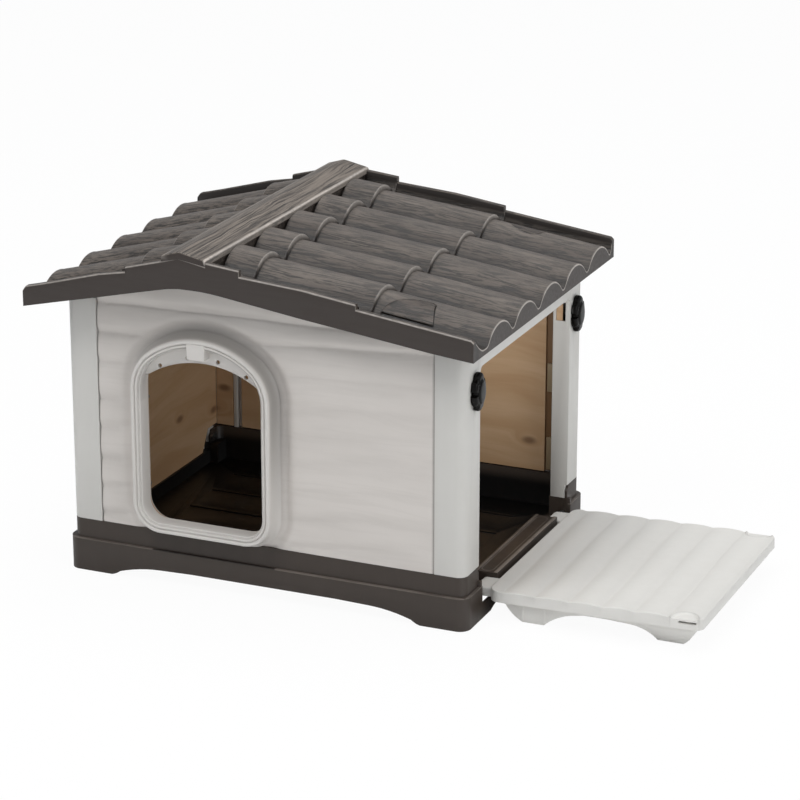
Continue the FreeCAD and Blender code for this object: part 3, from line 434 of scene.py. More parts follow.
def make_cover_gap_shade(side):
    """Sheet a little below the tiles, the floor of the pocket of a half-moon plate, painted dark as the shade
    in the gap round the plate.
    """
    xs = np.linspace(182.0, 279.0, 30)
    ys = np.linspace(184.0, 246.0, 40) if side < 0 else np.linspace(209.0, 279.0, 40)
    x, y = np.meshgrid(xs, side * ys, indexing="ij")
    high, _ = tile_height(x, y)
    upper, lower = (np.stack([x, y, high - drop], -1) for drop in (3.4, 4.1))
    sheet = outwards(slab("cover_gap_shade_%d" % (side + 1), upper, lower))
    # painted shade over the whole sheet
    paint(sheet, "painted_shade", np.full(len(sheet.data.vertices), 1.4))
    paint(sheet, "plain", np.ones(len(sheet.data.vertices)))
    return settle(sheet, "house", "roof_plastic")


def make_cover(side):
    """Half-moon plate with painted shade on its lower edges.  The front one is cut short at its
    straight edge, so that the edge shows over the rim."""
    name = "roof_cover_" + PLACE[side]
    plate = softened(name, 0.5)
    if side < 0:
        carve(plate, [block("trim", (150.0, -260.0, 400.0), (310.0, COVER_TRIM_Y, 560.0), 0.5)])
    x, y, z = places(plate)
    high, _ = tile_height(x, y)
    # painted shade on the lower edges of the plate
    paint(plate, "painted_shade", np.where(z < high - 1.2, 1.4, 0.0))
    return settle(plate, "house", "roof_plastic", name)


def paint_roof(roof):
    """Numbers for the finish, worked out from where each vertex lies: painted shade in the deep valleys, at
    the bottom of each step, inside the rims and under the fascia, and abrasion with painted highlights on the
    lips, crests and fascia corners.
    """
    x, y, z = places(roof)
    x = np.round(x, 3)
    high, depth = tile_height(x, y)
    _, to_lip, to_step, _ = crest_height(x)
    tiles = np.abs(y) < RIM_Y - 0.6
    on_top = tiles & (z > high - 1.4)
    eave = (x > ROOF_RIGHT - 0.01) | (x < ROOF_LEFT + 0.01)
    # abrasion with painted highlights: the upper part of each lip is pale, and a faint painted highlight lies
    # on the crests of the arches
    lip = np.exp(-(to_lip / np.where(eave, 2.4, 1.1)) ** 2)
    share = np.where(eave, 1.0, 0.62 * np.clip((15.0 - depth) / 9.0, 0, 1))
    crown = 0.10 * np.clip(1 - depth / 8.0, 0, 1) * (course_of(x) >= 0)
    wear_and_highlight = np.where(on_top & (z > high - 0.3), np.maximum(lip * share, crown), 0.0)
    rim_top = np.interp(x, *zip(*FASCIA_TOP))
    # paler top corners of the fascia, abrasion with a painted highlight
    corner = ~tiles & (z > rim_top - 1.6) & (np.abs(y) > ROOF_Y - 2.2)
    wear_and_highlight = np.where(corner, 0.45, wear_and_highlight)
    plain = np.where(tiles, ~on_top, (z < rim_top - 1.0) | (np.abs(y) > ROOF_Y - 0.4)).astype(float)
    # painted shade: the deep valleys darken, and a dark painted shadow line runs at the bottom of each step
    hollow = 0.95 * np.clip((depth - 6.0) / 12.0, 0, 1) ** 1.8
    foot_shadow = np.exp(-(to_step / 2.4) ** 2) * np.clip(depth / 8.0, 0.25, 1.2)
    painted_shade = np.where(on_top, np.maximum(hollow, foot_shadow), 0.0)
    # painted shade inside the front and back rims and on the inner faces and underside of the fascia
    side = tiles & (np.abs(y) > RIM_Y - 9.0) & (depth < VALLEY_DEPTH - 1.0)
    painted_shade = np.where(side | (~tiles & (plain > 0.5) & (np.abs(y) < ROOF_Y - 3.0)), 0.75, painted_shade)
    number = tile_number(y) + 5.0 * course_of(x)
    tone = np.sin(number * 12.9898 + 4.0) * 43.7585
    paint(roof, "wear_and_highlight", wear_and_highlight)
    paint(roof, "plain", plain)
    paint(roof, "painted_shade", painted_shade)
    paint(roof, "tone", tone - np.floor(tone))


def make_roof():
    """Roof moulding: across Y a profile of fascia, rim, tile arches, rim and fascia, carried
    along X over the courses; the inner grid is the same profile one skin lower."""
    xs = roof_stations()
    xs = np.concatenate([xs[:1], xs, xs[-1:]])
    top = np.interp(xs, *zip(*FASCIA_TOP))
    bottom = np.interp(xs, *zip(*FASCIA_BOTTOM))
    tiles = near_ends(-RIM_Y + 0.5, RIM_Y - 0.5, 3.3, [0.0, 0.8, 1.8, 3.0])
    n = len(xs)
    z_tile, _ = tile_height(xs[:, None], tiles[None, :])
    r = 2.5
    turn = np.radians(np.linspace(0, 90, 5))
    climb = np.linspace(0, 1, 5)[:-1]
    side_y = np.concatenate([np.full(4, -ROOF_Y), -ROOF_Y + r - r * np.cos(turn),
                             [-RIM_Y - 1.6, -RIM_Y - 0.5, -RIM_Y + 0.2]])
    hang = np.concatenate([np.zeros(4), r - r * np.sin(turn), [0.0, 0.6, 2.2]])
    front_z = top[:, None] - hang[None, :]
    front_z[:, :4] = bottom[:, None] + (top - r - bottom)[:, None] * climb[None, :]
    k = len(side_y)
    under_y = np.concatenate([np.full(4, -FASCIA_IN_Y), np.linspace(-FASCIA_IN_Y, -RIM_Y, k - 4)])
    under_z = np.repeat((top - 8.0)[:, None], k, 1)
    under_z[:, :4] = bottom[:, None] + (top - 8.0 - bottom)[:, None] * climb[None, :]
    y_out = np.concatenate([side_y, tiles, -side_y[::-1]])
    z_out = np.concatenate([front_z, z_tile, front_z[:, ::-1]], 1)
    y_in = np.concatenate([under_y, tiles, -under_y[::-1]])
    z_in = np.concatenate([under_z, z_tile - TILE_SKIN - 0.3, under_z[:, ::-1]], 1)
    z_in = np.minimum(z_in, z_out - 2.0)
    ends = (xs < ROOF_LEFT + 4.01) | (xs > ROOF_RIGHT - 4.01)
    z_in = np.where(ends[:, None], bottom[:, None], z_in)
    z_in = np.maximum(z_in, bottom[:, None])
    z_out[[0, -1]] = np.maximum(z_out[[0, -1]] - 1.6, bottom[[0, -1], None])
    grid_x = np.repeat(xs[:, None], len(y_out), 1)
    outer = np.stack([grid_x, np.repeat(y_out[None, :], n, 0), z_out], -1)
    inner = np.stack([grid_x, np.repeat(y_in[None, :], n, 0), z_in], -1)
    roof = outwards(slab("roof_tiles", outer, inner, flip=True, sharp=32.0))
    carve(roof, [cover_pocket(-1), cover_pocket(1)])
    smooth(roof.data, 32.0)
    paint_roof(roof)
    return settle(roof, "house", "roof_plastic", "roof_shell")


def make_ridge_cap():
    """Cap section in X and Z, two slopes meeting in a soft ridge, carried along Y."""
    section = np.array([(CAP_LEFT, 530.2), (CAP_LEFT, 536.8), (-134.9, 538.4), (-133.4, 539.4),
                        (-124.0, 542.3), (-113.0, 545.6), (-109.5, 546.7), (CAP_TOP_X, 547.2),
                        (-104.0, 546.9), (-98.0, 545.8), (-84.0, 542.8), (-68.0, 539.4),
                        (-65.2, 538.7), (-63.9, 537.6), (CAP_RIGHT, 536.0), (CAP_RIGHT, 529.8)])
    base_z = np.interp(section[:, 0], (CAP_LEFT, CAP_TOP_X, CAP_RIGHT), (530.0, 536.0, 529.5))
    base_z[[0, -1]] -= 0.1
    ys = near_ends(-ROOF_Y, ROOF_Y, 12.0, [0.0, 0.5, 1.2, 2.5])
    pull = np.interp(ROOF_Y - np.abs(ys), [0.0, 0.5, 1.2, 2.5], [1.8, 0.9, 0.3, 0.0])
    n = len(ys)
    x, y = np.meshgrid(section[:, 0], ys)
    outer = np.stack([x, y, section[:, 1] - pull[:, None] * (section[:, 1] > 533)], -1)
    inner = np.stack([x, y, np.repeat(base_z[None, :], n, 0)], -1)
    cap = slab("ridge_cap_moulding", outer, inner)
    cap.data.flip_normals()
    # abrasion with painted highlights along the edges of the cap
    edge = np.zeros(len(section))
    edge[[2, 3]], edge[[12, 13]], edge[[14, 15]] = 0.2, 0.8, 0.25
    wear_and_highlight = np.repeat(edge[None, :], n, 0)
    paint(cap, "wear_and_highlight", np.concatenate([wear_and_highlight.ravel(), np.zeros(wear_and_highlight.size)]))
    paint(cap, "tone", np.full(2 * wear_and_highlight.size, 0.45))
    plain = np.zeros_like(wear_and_highlight)
    plain[[0, -1]] = 1.0
    paint(cap, "plain", np.concatenate([plain.ravel(), np.ones(wear_and_highlight.size)]))
    return settle(cap, "house", "roof_plastic", "ridge_cap")


# ---- door outline ---------------------------------------------------------------------
def door_path(per_mm=0.22):
    """Points and outward directions round the door: straight sides, two low corners, two
    shoulder arcs and one wide top arc, all tangent."""
    side_x = DOOR_HALF - DOOR_SIDE_R
    lean = math.atan2(DOOR_SIDE_Z - DOOR_TOP_Z, side_x)
    low_x, low_z = DOOR_HALF - DOOR_LOW_R, DOOR_Z + DOOR_LOW_R
    arcs = [(low_x, low_z, DOOR_LOW_R, -math.pi / 2, 0.0),
            (side_x, DOOR_SIDE_Z, DOOR_SIDE_R, 0.0, lean),
            (0.0, DOOR_TOP_Z, DOOR_TOP_R, lean, math.pi - lean),
            (-side_x, DOOR_SIDE_Z, DOOR_SIDE_R, math.pi - lean, math.pi),
            (-low_x, low_z, DOOR_LOW_R, math.pi, 1.5 * math.pi)]
    points, normals = [], []
    for i, (cx, cz, r, a0, a1) in enumerate(arcs):
        a = np.linspace(a0, a1, max(8, int(abs(a1 - a0) * r * per_mm)))
        way = np.stack([np.cos(a), np.sin(a)], -1)
        points.append(np.array([cx, cz]) + r * way)
        normals.append(way)
        nx, nz, nr, na = arcs[(i + 1) % 5][:4]
        end = np.array([nx, nz]) + nr * np.array([math.cos(na), math.sin(na)])
        length = np.linalg.norm(end - points[-1][-1])
        if length > 1.0:
            t = np.linspace(0, 1, max(3, int(length * per_mm)))[1:-1, None]
            points.append(points[-1][-1] * (1 - t) + end * t)
            normals.append(np.repeat(way[-1:], len(t), 0))
    points, normals = np.concatenate(points), np.concatenate(normals)
    keep = np.append(True, np.linalg.norm(np.diff(points, axis=0), axis=1) > 0.05)
    points, normals = points[keep], normals[keep]
    if np.linalg.norm(points[0] - points[-1]) < 0.05:
        points, normals = points[:-1], normals[:-1]
    return points + np.array([DOOR_X, 0.0]), normals


def make_door_frame():
    """Section of beads, grooves and a return, carried round the door outline.  Each section
    point is (distance outside the outline, y)."""
    flare = [(8.0, -244.4), (7.2, -245.4), (5.2, -247.6), (3.2, -251.5), (1.7, -257.0), (0.7, -262.0)]
    big_bead = [(0.0, -266.0), (-0.8, -268.3), (-2.2, -269.6), (-3.8, -270.0), (-5.2, -269.5), (-6.1, -268.2)]
    groove = [(-6.6, -266.6), (-7.2, -266.4)]
    small_bead = [(-7.8, -267.4), (-8.8, -268.4), (-10.0, -268.5), (-11.0, -267.7), (-11.5, -266.0)]
    lip = [(-11.9, -264.4), (-12.6, -264.2), (-13.6, -264.6), (-14.5, -264.0), (-DOOR_LIP, -262.6)]
    inward = [(-DOOR_LIP, -252.0), (-DOOR_LIP, -239.4), (-11.2, -239.4), (-11.2, -244.0)]
    section = np.array(flare + big_bead + groove + small_bead + lip + inward)
    path, normal = door_path()
    n, m = len(path), len(section)
    x = path[:, None, 0] + normal[:, None, 0] * section[None, :, 0]
    z = path[:, None, 1] + normal[:, None, 1] * section[None, :, 0]
    points = np.stack([x, np.repeat(section[None, :, 1], n, 0), z], -1)
    faces = quads(n, m, wrap_rows=True, wrap_columns=True)
    ring = outwards(finish_mesh("door_frame_ring", in_scene(points.reshape(-1, 3)), faces.tolist(), 50.0))
    vx, vy, vz = places(ring)
    away = rim_distance(vx, vz, path)
    # painted shade on the outer flank of the frame, strongest on its upper right, and in the grooves between
    # the beads
    flank = np.clip((vy + 269.0) / 9.0, 0, 1) * np.clip((away + 0.2) / 0.8, 0, 1)
    nearest = np.hypot(*(path - DOOR_MIDDLE).T).min()
    outside = np.hypot(vx - DOOR_MIDDLE[0], vz - DOOR_MIDDLE[1]) > nearest
    dark = np.exp(-((away - 6.6) / 0.7) ** 2) + np.exp(-((away - 12.3) / 0.8) ** 2)
    side = flank * outside * (vy < -243.0) * (vy > -267.5)
    paint(ring, "shade", 0.62 * side * frame_shade_side(vx, vz) + 0.14 * dark * (vy < -262.0))
    return settle(ring, "house", "frame_plastic", "door_frame_outer")


def frame_shade_side(x, z):
    """Weight of the painted shade round the door: 1 on the upper right, falling to a little on the lower
    left.
    """
    dx, dz = x - DOOR_MIDDLE[0], z - DOOR_MIDDLE[1]
    return np.clip(0.25 + 0.85 * (0.5 * dx + 0.86 * dz) / np.maximum(np.hypot(dx, dz), 1.0), 0.06, 1.0)


def tube(name, axis, centre, radius, lo, hi, sides=32):
    """Closed cylinder along x, y or z."""
    a = np.linspace(0, 2 * math.pi, sides, endpoint=False)
    rings = []
    for level, r in ((lo, 0.0), (lo, radius), (hi, radius), (hi, 0.0)):
        u, v = centre[0] + r * np.cos(a), centre[1] + r * np.sin(a)
        w = np.full(sides, level)
        rings.append(np.stack({"x": (w, u, v), "y": (u, w, v), "z": (u, v, w)}[axis], -1))
    points = np.stack(rings)
    faces = quads(4, sides, wrap_columns=True)
    return outwards(finish_mesh(name, in_scene(points.reshape(-1, 3)), faces.tolist()))


def block(name, low, high, soft):
    """Box with rounded edges."""
    low, high = np.array(low), np.array(high)
    mesh = bmesh.new()
    bmesh.ops.create_cube(mesh, size=1.0)
    data = bpy.data.meshes.new(name)
    mesh.to_mesh(data)
    mesh.free()
    unit = np.empty(24)
    data.vertices.foreach_get("co", unit)
    corners = (low + high) / 2 + unit.reshape(8, 3) * (high - low)
    data.vertices.foreach_set("co", in_scene(corners).ravel())
    piece = linked(name, data)
    bevelled(piece, soft, 3)
    applied(piece)
    smooth(piece.data, 35.0)
    return piece


def make_trim():
    """Small pieces: the flat block over the door, wooden packers behind the slots of the posts, and the
    battens behind the free edges of the end boards, whose pine is painted in shade."""
    pad = block("door_block", (DOOR_X - 18.5, -268.8, 373.5), (DOOR_X + 11.0, -249.0, 398.5), 1.2)
    settle(pad, "house", "frame_plastic")
    for side in (-1, 1):
        y = sorted((side * 189.6, side * 192.0))
        packer = block("slot_packer_%d" % (side + 1), (303.2, y[0], 352.0), (313.6, y[1], 389.0), 0.3)
        settle(packer, "house", "pine_board")
        y = sorted((side * 233.4, side * 236.4))
        batten = block("edge_batten_%d" % (side + 1), (271.6, y[0], 86.0), (298.0, y[1], 424.0), 0.3)
        settle(batten, "house", "pine_board")


def make_visor():
    """Plate across the top of the opening: its lower edge is an arc that flares out level."""
    half = 99.6
    xs = near_ends(-half, half, 3.0, [0.0, 0.5, 1.2, 2.5])
    inner_r, side_r = DOOR_TOP_R - DOOR_LIP + 0.5, DOOR_SIDE_R - DOOR_LIP + 0.5
    side_x = DOOR_HALF - DOOR_SIDE_R
    lean = math.atan2(DOOR_SIDE_Z - DOOR_TOP_Z, side_x)
    split = inner_r * math.cos(lean)
    wide = np.abs(xs)
    top_z = np.where(wide < split, DOOR_TOP_Z + np.sqrt(np.maximum(inner_r ** 2 - wide ** 2, 0)),
                     DOOR_SIDE_Z + np.sqrt(np.maximum(side_r ** 2 - (wide - side_x) ** 2, 0)))
    low_z = 364.0 - 163.0 + np.sqrt(np.maximum(163.0 ** 2 - wide ** 2, 0))
    flare = np.clip((wide - 84.0) / 12.0, 0, 1)
    low_z = low_z * (1 - flare) + np.maximum(low_z, 337.0) * flare
    low_z = np.minimum(low_z, top_z - 0.5)
    t = near_ends(0.0, 1.0, 0.2, [0.0, 0.03, 0.08])
    z = low_z[:, None] + (top_z - low_z)[:, None] * t[None, :]
    lip = 1.6 * np.exp(-((z - low_z[:, None]) / 2.2) ** 2)
    x = np.repeat(xs[:, None], len(t), 1) + DOOR_X
    outer = np.stack([x, -251.4 - lip + 1.6 * (t[None, :] < 0.01), z], -1)
    inner = np.stack([x, np.full_like(x, -247.0), z], -1)
    visor = outwards(slab("door_visor", outer, inner))
    holes = [tube("hole", "y", (DOOR_X + dx, hz), 3.4, -256.0, -244.0)
             for dx, hz in ((-25.3, 369.6), (25.3, 369.6), (-71.8, 352.0), (71.8, 352.0))]
    carve(visor, holes)
    smooth(visor.data, 35.0)
    return settle(visor, "house", "frame_plastic")


# ---- walls ----------------------------------------------------------------------------
def board_relief(x, z, left, right, shift):
    """How far the boards lie behind the wall face.  The joints run between measured heights at
    both ends and wander a little; each board swells between two joints, its lower edge rolls
    back into a soft shadow line, and the lower joints fade towards the right."""
    t = np.clip((x - left) / (right - left), 0, 1)
    joints = []
    for i, (zl, zr) in enumerate(JOINTS):
        wander = 1.4 * np.sin(t * 7.0 + i * 1.7 + shift) + 0.7 * np.sin(t * 17.0 + i * 2.9 + shift)
        joints.append(zl * (1 - t) + zr * t + wander)
    joints = [joints[0] + 52.0] + joints + [joints[-1] - 46.0]
    relief = np.zeros_like(z)
    for i, (upper, lower) in enumerate(zip(joints, joints[1:])):
        f = (z - lower) / (upper - lower)
        inside = (f >= 0) & (f < 1)
        strong = 1.0 if i < 2 else 0.75 * (1 - 0.65 * t)
        roll = 4.4 * strong * np.exp(-(f / 0.2) ** 2)
        above = 1.0 if i < 3 else 0.75 * (1 - 0.65 * t)
        fall = 3.4 * above * np.clip(f, 0, 1) ** 3
        relief = np.where(inside, roll + fall, relief)
    return relief


def rim_distance(x, z, path):
    """Distance to the nearest point of the door path."""
    out = np.empty(x.size)
    flat = np.stack([x.ravel(), z.ravel()], -1)
    for k in range(0, len(flat), 4000):
        part = flat[k:k + 4000]
        out[k:k + 4000] = np.sqrt(((part[:, None, :] - path[None, :, :]) ** 2).sum(-1)).min(1)
    return out.reshape(x.shape)


def gable_top(x):
    """Height of the upper edge of the front and back walls."""
    return np.interp(x, *zip(*WALL_TOP))


def make_front_wall():
    """Rings from the door hole out to the gable outline, followed along rays from the middle
    of the door; the relief of the boards and a hollow fairing round the door set y."""
    left, right, low = SEAM_LEFT + 0.4, SEAM_RIGHT - 0.4, TRAY_TOP + 0.2
    path, normal = door_path()
    hole = path - normal * 9.0
    middle = DOOR_MIDDLE
    xs = np.linspace(left, right, 400)
    edge = np.concatenate([np.stack([xs, np.full(400, low)], -1),
                           np.stack([np.full(200, right), np.linspace(low, gable_top(right), 200)], -1),
                           np.stack([xs[::-1], gable_top(xs[::-1])], -1),
                           np.stack([np.full(200, left), np.linspace(gable_top(left), low, 200)], -1)])
    corners = np.array([(left, low), (right, low), (right, gable_top(right)), (left, gable_top(left))])

    def polar(points):
        d = points - middle
        return np.arctan2(d[:, 1], d[:, 0]), np.hypot(d[:, 0], d[:, 1])

    turn = np.linspace(-math.pi, math.pi, 560, endpoint=False)
    angles = np.unique(np.concatenate([turn, polar(corners)[0]]))

    def reach(points):
        a, r = polar(points)
        order = np.argsort(a)
        return np.interp(angles, a[order], r[order], period=2 * math.pi)

    r0, r1 = reach(hole), reach(edge)
    # close rings over the first 34 mm, or over 0.7 of the way where the wall is narrow
    near, far = np.linspace(0, 1, 16), np.linspace(0, 1, 56)[1:]
    first = np.minimum(34.0, (r1 - r0) * 0.7)
    rest = r1 - r0 - first
    out = np.concatenate([first[:, None] * near, first[:, None] + rest[:, None] * far], 1)
    radius = r0[:, None] + out
    x = middle[0] + radius * np.cos(angles)[:, None]
    z = middle[1] + radius * np.sin(angles)[:, None]
    away = rim_distance(x, z, path)
    relief = board_relief(x, z, SEAM_LEFT, SEAM_RIGHT, 0.0)
    calm = np.clip((away - 12.0) / 24.0, 0, 1) ** 1.2
    bulge = 3.0 * np.clip(1 - away / 9.0, 0, 1) ** 2
    dip = 4.6 * np.exp(-((away - 15.0) / 9.0) ** 2)
    depth = relief * calm + dip - bulge
    sides = np.minimum(x - left, right - x)
    depth = depth + 1.2 * np.exp(-(sides / 1.2) ** 2)
    y = -WALL_Y + np.clip(depth, -4.0, 6.2)
    outer = np.stack([x, y, z], -1)
    inner = np.stack([x, np.full_like(x, -WALL_BACK), z], -1)
    wall = outwards(slab("front_wall_boards", outer, inner, ring=True, flip=True, sharp=45.0))
    vx, _, vz = places(wall)
    away = rim_distance(vx, vz, path)
    # painted shade: beside the frame on its upper right, along the board joints, and at the edges against the
    # posts
    near_frame = np.exp(-(np.maximum(away - 8.0, 0) / 13.0) ** 2)
    joint_shade = board_relief(vx, vz, SEAM_LEFT, SEAM_RIGHT, 0.0) / 7.8
    calm = np.clip((away - 12.0) / 24.0, 0, 1)
    seam_shade = 0.85 * np.exp(-((vx - left) / 1.6) ** 2) + 0.7 * np.exp(-((vx - right) / 1.6) ** 2)
    shade = 0.5 * near_frame * frame_shade_side(vx, vz) + 0.26 * joint_shade * calm + seam_shade
    paint(wall, "shade", np.clip(shade, 0, 1))
    return settle(wall, "house", "wall_plastic", "front_wall")


def flat_wall(name, along, low, left, right, top, face, back, shift):
    """Plain boarded wall: a grid of positions along the wall and heights."""
    us = near_ends(left, right, 5.0, [0.0, 0.5, 1.2, 2.5])
    vs = np.concatenate([[0.0, 0.002, 0.006], np.linspace(0.01, 0.99, 180), [0.994, 0.998, 1.0]])
    tops = top(us)
    z = low + (tops - low)[:, None] * vs[None, :]
    u = np.repeat(us[:, None], len(vs), 1)
    relief = board_relief(u, z, left, right, shift)
    sides = np.minimum(u - left, right - u)
    thin = min(1.0, abs(face - back) / 7.0)
    relief = np.clip(relief + 1.0 * np.exp(-(sides / 1.2) ** 2), 0, 5.0) * thin
    toward = math.copysign(1.0, back - face)
    outer_w, inner_w = face + toward * relief, np.full_like(u, back)
    if along == "x":
        outer, inner = np.stack([u, outer_w, z], -1), np.stack([u, inner_w, z], -1)
    else:
        outer, inner = np.stack([outer_w, u, z], -1), np.stack([inner_w, u, z], -1)
    return outwards(slab(name, outer, inner, sharp=45.0))


def make_back_wall():
    """Boarded wall between the back posts."""
    wall = flat_wall("back_wall_boards", "x", TRAY_TOP + 0.2, SEAM_LEFT + 0.4, SEAM_RIGHT - 0.4,
                     gable_top, WALL_Y, WALL_BACK, 2.0)
    return settle(wall, "house", "wall_plastic", "back_wall")


def make_left_wall():
    """Boarded wall between the left posts."""
    wall = flat_wall("left_wall_boards", "y", LEFT_SILL + 0.3, -186.8, 186.8,
                     lambda u: np.full_like(u, POST_TOP), -327.0, -321.6, 4.0)
    return settle(wall, "house", "wall_plastic", "left_wall")


# ---- porch ----------------------------------------------------------------------------
def tilt(points):
    """Turns points about the porch hinge, outer end up."""
    a = math.radians(PANEL_TILT)
    x, z = points[..., 0] - PIVOT_X, points[..., 2] - PIVOT_Z
    return np.stack([PIVOT_X + x * math.cos(a) - z * math.sin(a), points[..., 1],
                     PIVOT_Z + x * math.sin(a) + z * math.cos(a)], -1)


def make_porch():
    """Tread: a stretched grid with rounded corners; the top is a row of waves that fade
    towards the side edges, with its rim rolled off and a shallow half-round finger dish
    at each outer corner."""
    x0, x1 = PIVOT_X + PANEL_IN, PIVOT_X + PANEL_OUT
    top, bottom, half = PIVOT_Z + PANEL_TOP, PIVOT_Z + PANEL_BOTTOM, PANEL_HALF
    fine = [0.0, 0.15, 0.45, 0.9, 1.5, 2.1, 4.0]
    ys = near_ends(-half, half, 3.2, fine + [6.0, 8.0, 11.0, 14.0, 18.0])
    dish_y = np.arange(half - 26, half - 2, 1.1)
    ys = np.unique(np.concatenate([ys, dish_y, -dish_y]))
    us = near_ends(0.0, x1 - x0, 3.0, fine)
    dish = PIVOT_X + CATCH_OUT - x0
    us = np.unique(np.concatenate([us, np.arange(dish - 26, min(dish + 25, x1 - x0 - 2), 1.1)]))
    us = us / (x1 - x0)

    def wave_count(at):
        return (at - x0) / (x1 - x0) * 6.45 + 0.55

    def corner_cut(radius):
        over = np.clip(np.abs(ys) - (half - radius), 0, radius)
        return radius - np.sqrt(radius ** 2 - over ** 2)

    start, stop = x0 + corner_cut(PANEL_IN_R), x1 - corner_cut(PANEL_R)
    x = start[None, :] + us[:, None] * (stop - start)[None, :]
    y = np.repeat(ys[None, :], len(us), 0)
    edge = np.minimum(np.minimum(x - start[None, :], stop[None, :] - x), half - np.abs(y))
    r = 2.0
    roll = np.where(edge < r, r - np.sqrt(np.maximum(r * r - (r - edge) ** 2, 0)), 0)
    along = wave_count(x) + 0.03 * np.sin(y / 60.0)
    phase = along - np.floor(along)
    crest = 1 - np.abs(2 * phase - 1) ** 2.2
    waves = 3.8 * (1 - crest) * np.clip(0.6 + edge / 20.0, 0, 1)
    away = np.hypot(x - (PIVOT_X + CATCH_OUT), half - np.abs(y))
    slope = 1.3 + 1.3 * np.clip(1 - (half - np.abs(y)) / 16.0, 0, 1)
    floor = np.clip((CATCH_R - 1.0 - away) / 3.0, 0, 1) * slope
    ring = 1.1 * np.exp(-((away - CATCH_R) / 1.3) ** 2) * np.clip(edge / 4.0, 0, 1)
    inside = away < CATCH_R
    z = top - np.where(inside, 1.4, waves) - roll * ~inside - floor + ring
    z = np.minimum(z, top)
    outer = tilt(np.stack([x, y, z], -1))
    inner = tilt(np.stack([x, y, np.full_like(x, bottom)], -1))
    panel = outwards(slab("porch_tread", outer, inner, sharp=50.0))
    slots = []
    for s in (-1, 1):
        centre = np.array([PIVOT_X + CATCH_OUT + 5.0, s * (half - 3.0), PIVOT_Z + 2.85])
        box = np.array([(a * 13.5, b * 8.0, c * 1.7) for a in (-1, 1) for b in (-1, 1) for c in (-1, 1)])
        faces = [(0, 1, 3, 2), (4, 6, 7, 5), (0, 4, 5, 1), (2, 3, 7, 6), (0, 2, 6, 4), (1, 5, 7, 3)]
        slots.append(outwards(finish_mesh("slot", in_scene(tilt(centre + box)), faces)))
    carve(panel, slots)
    smooth(panel.data, 40.0)
    px, py, pz = places(panel)
    # painted shade: in the wave valleys, towards the hinge, and round the finger dishes
    phase = wave_count(px) % 1.0
    near = np.clip(1 - (px - x0) / 190.0, 0, 1)
    valley = 0.12 * np.clip((phase - 0.5) / 0.4, 0, 1) ** 1.5
    valley = valley + 0.05 * np.exp(-((phase - 0.02) / 0.06) ** 2)
    upper = pz > PIVOT_Z + 4.0
    dip = np.hypot(px - (PIVOT_X + CATCH_OUT), half - np.abs(py))
    dip = 0.22 * np.exp(-((dip - CATCH_R) / 1.2) ** 2)
    paint(panel, "shade", upper * (valley * (0.6 + 0.6 * near) + 0.10 * near + dip))
    lugs = [make_lug(s) for s in (-1, 1)]
    settle(panel, "porch", "porch_plastic", "porch_panel")
    return [panel] + lugs


def make_lug(side):
    """Hinge lug: a rounded nose round the pin, as thick as the panel, carried along Y."""
    nose = np.radians(np.linspace(250, 110, 18))
    low, high = PANEL_BOTTOM + 0.3, PANEL_TOP - 3.2
    r = 8.0
    section = [(PANEL_IN + 5.0, low)]
    section += [(r * math.cos(a), max(low, min(high, r * math.sin(a)))) for a in nose]
    section = np.array(section + [(0.5, high - 0.1), (PANEL_IN + 5.0, high)])
    ys = np.array([LUG_IN_Y, LUG_IN_Y + 0.4, LUG_IN_Y + 1.5, LUG_IN_Y + 3.0,
                   LUG_OUT_Y - 6.0, LUG_OUT_Y - 3.0, LUG_OUT_Y - 1.0, LUG_OUT_Y])
    pinch = np.array([0.80, 0.9, 0.97, 1.0, 1.0, 0.97, 0.88, 0.72])
    middle = np.array([PANEL_IN + 5.0, (low + high) / 2])
    grid = middle + (section[None, :, :] - middle) * pinch[:, None, None]
    grid[:, :, 0] = np.where(section[None, :, 0] > PANEL_IN, PANEL_IN + 5.0, grid[:, :, 0])
    y = side * np.repeat(ys[:, None], len(section), 1)
    points = np.stack([PIVOT_X + grid[:, :, 0], y, PIVOT_Z + grid[:, :, 1]], -1)
    n, m = points.shape[:2]
    faces = quads(n, m, wrap_columns=True).tolist()
    faces += [list(range(m)), list(range((n - 1) * m, n * m))[::-1]]
    name = "hinge_lug_" + PLACE[side]
    lug = outwards(finish_mesh(name, in_scene(tilt(points).reshape(-1, 3)), faces, 40.0))
    return settle(lug, "porch", "porch_plastic")


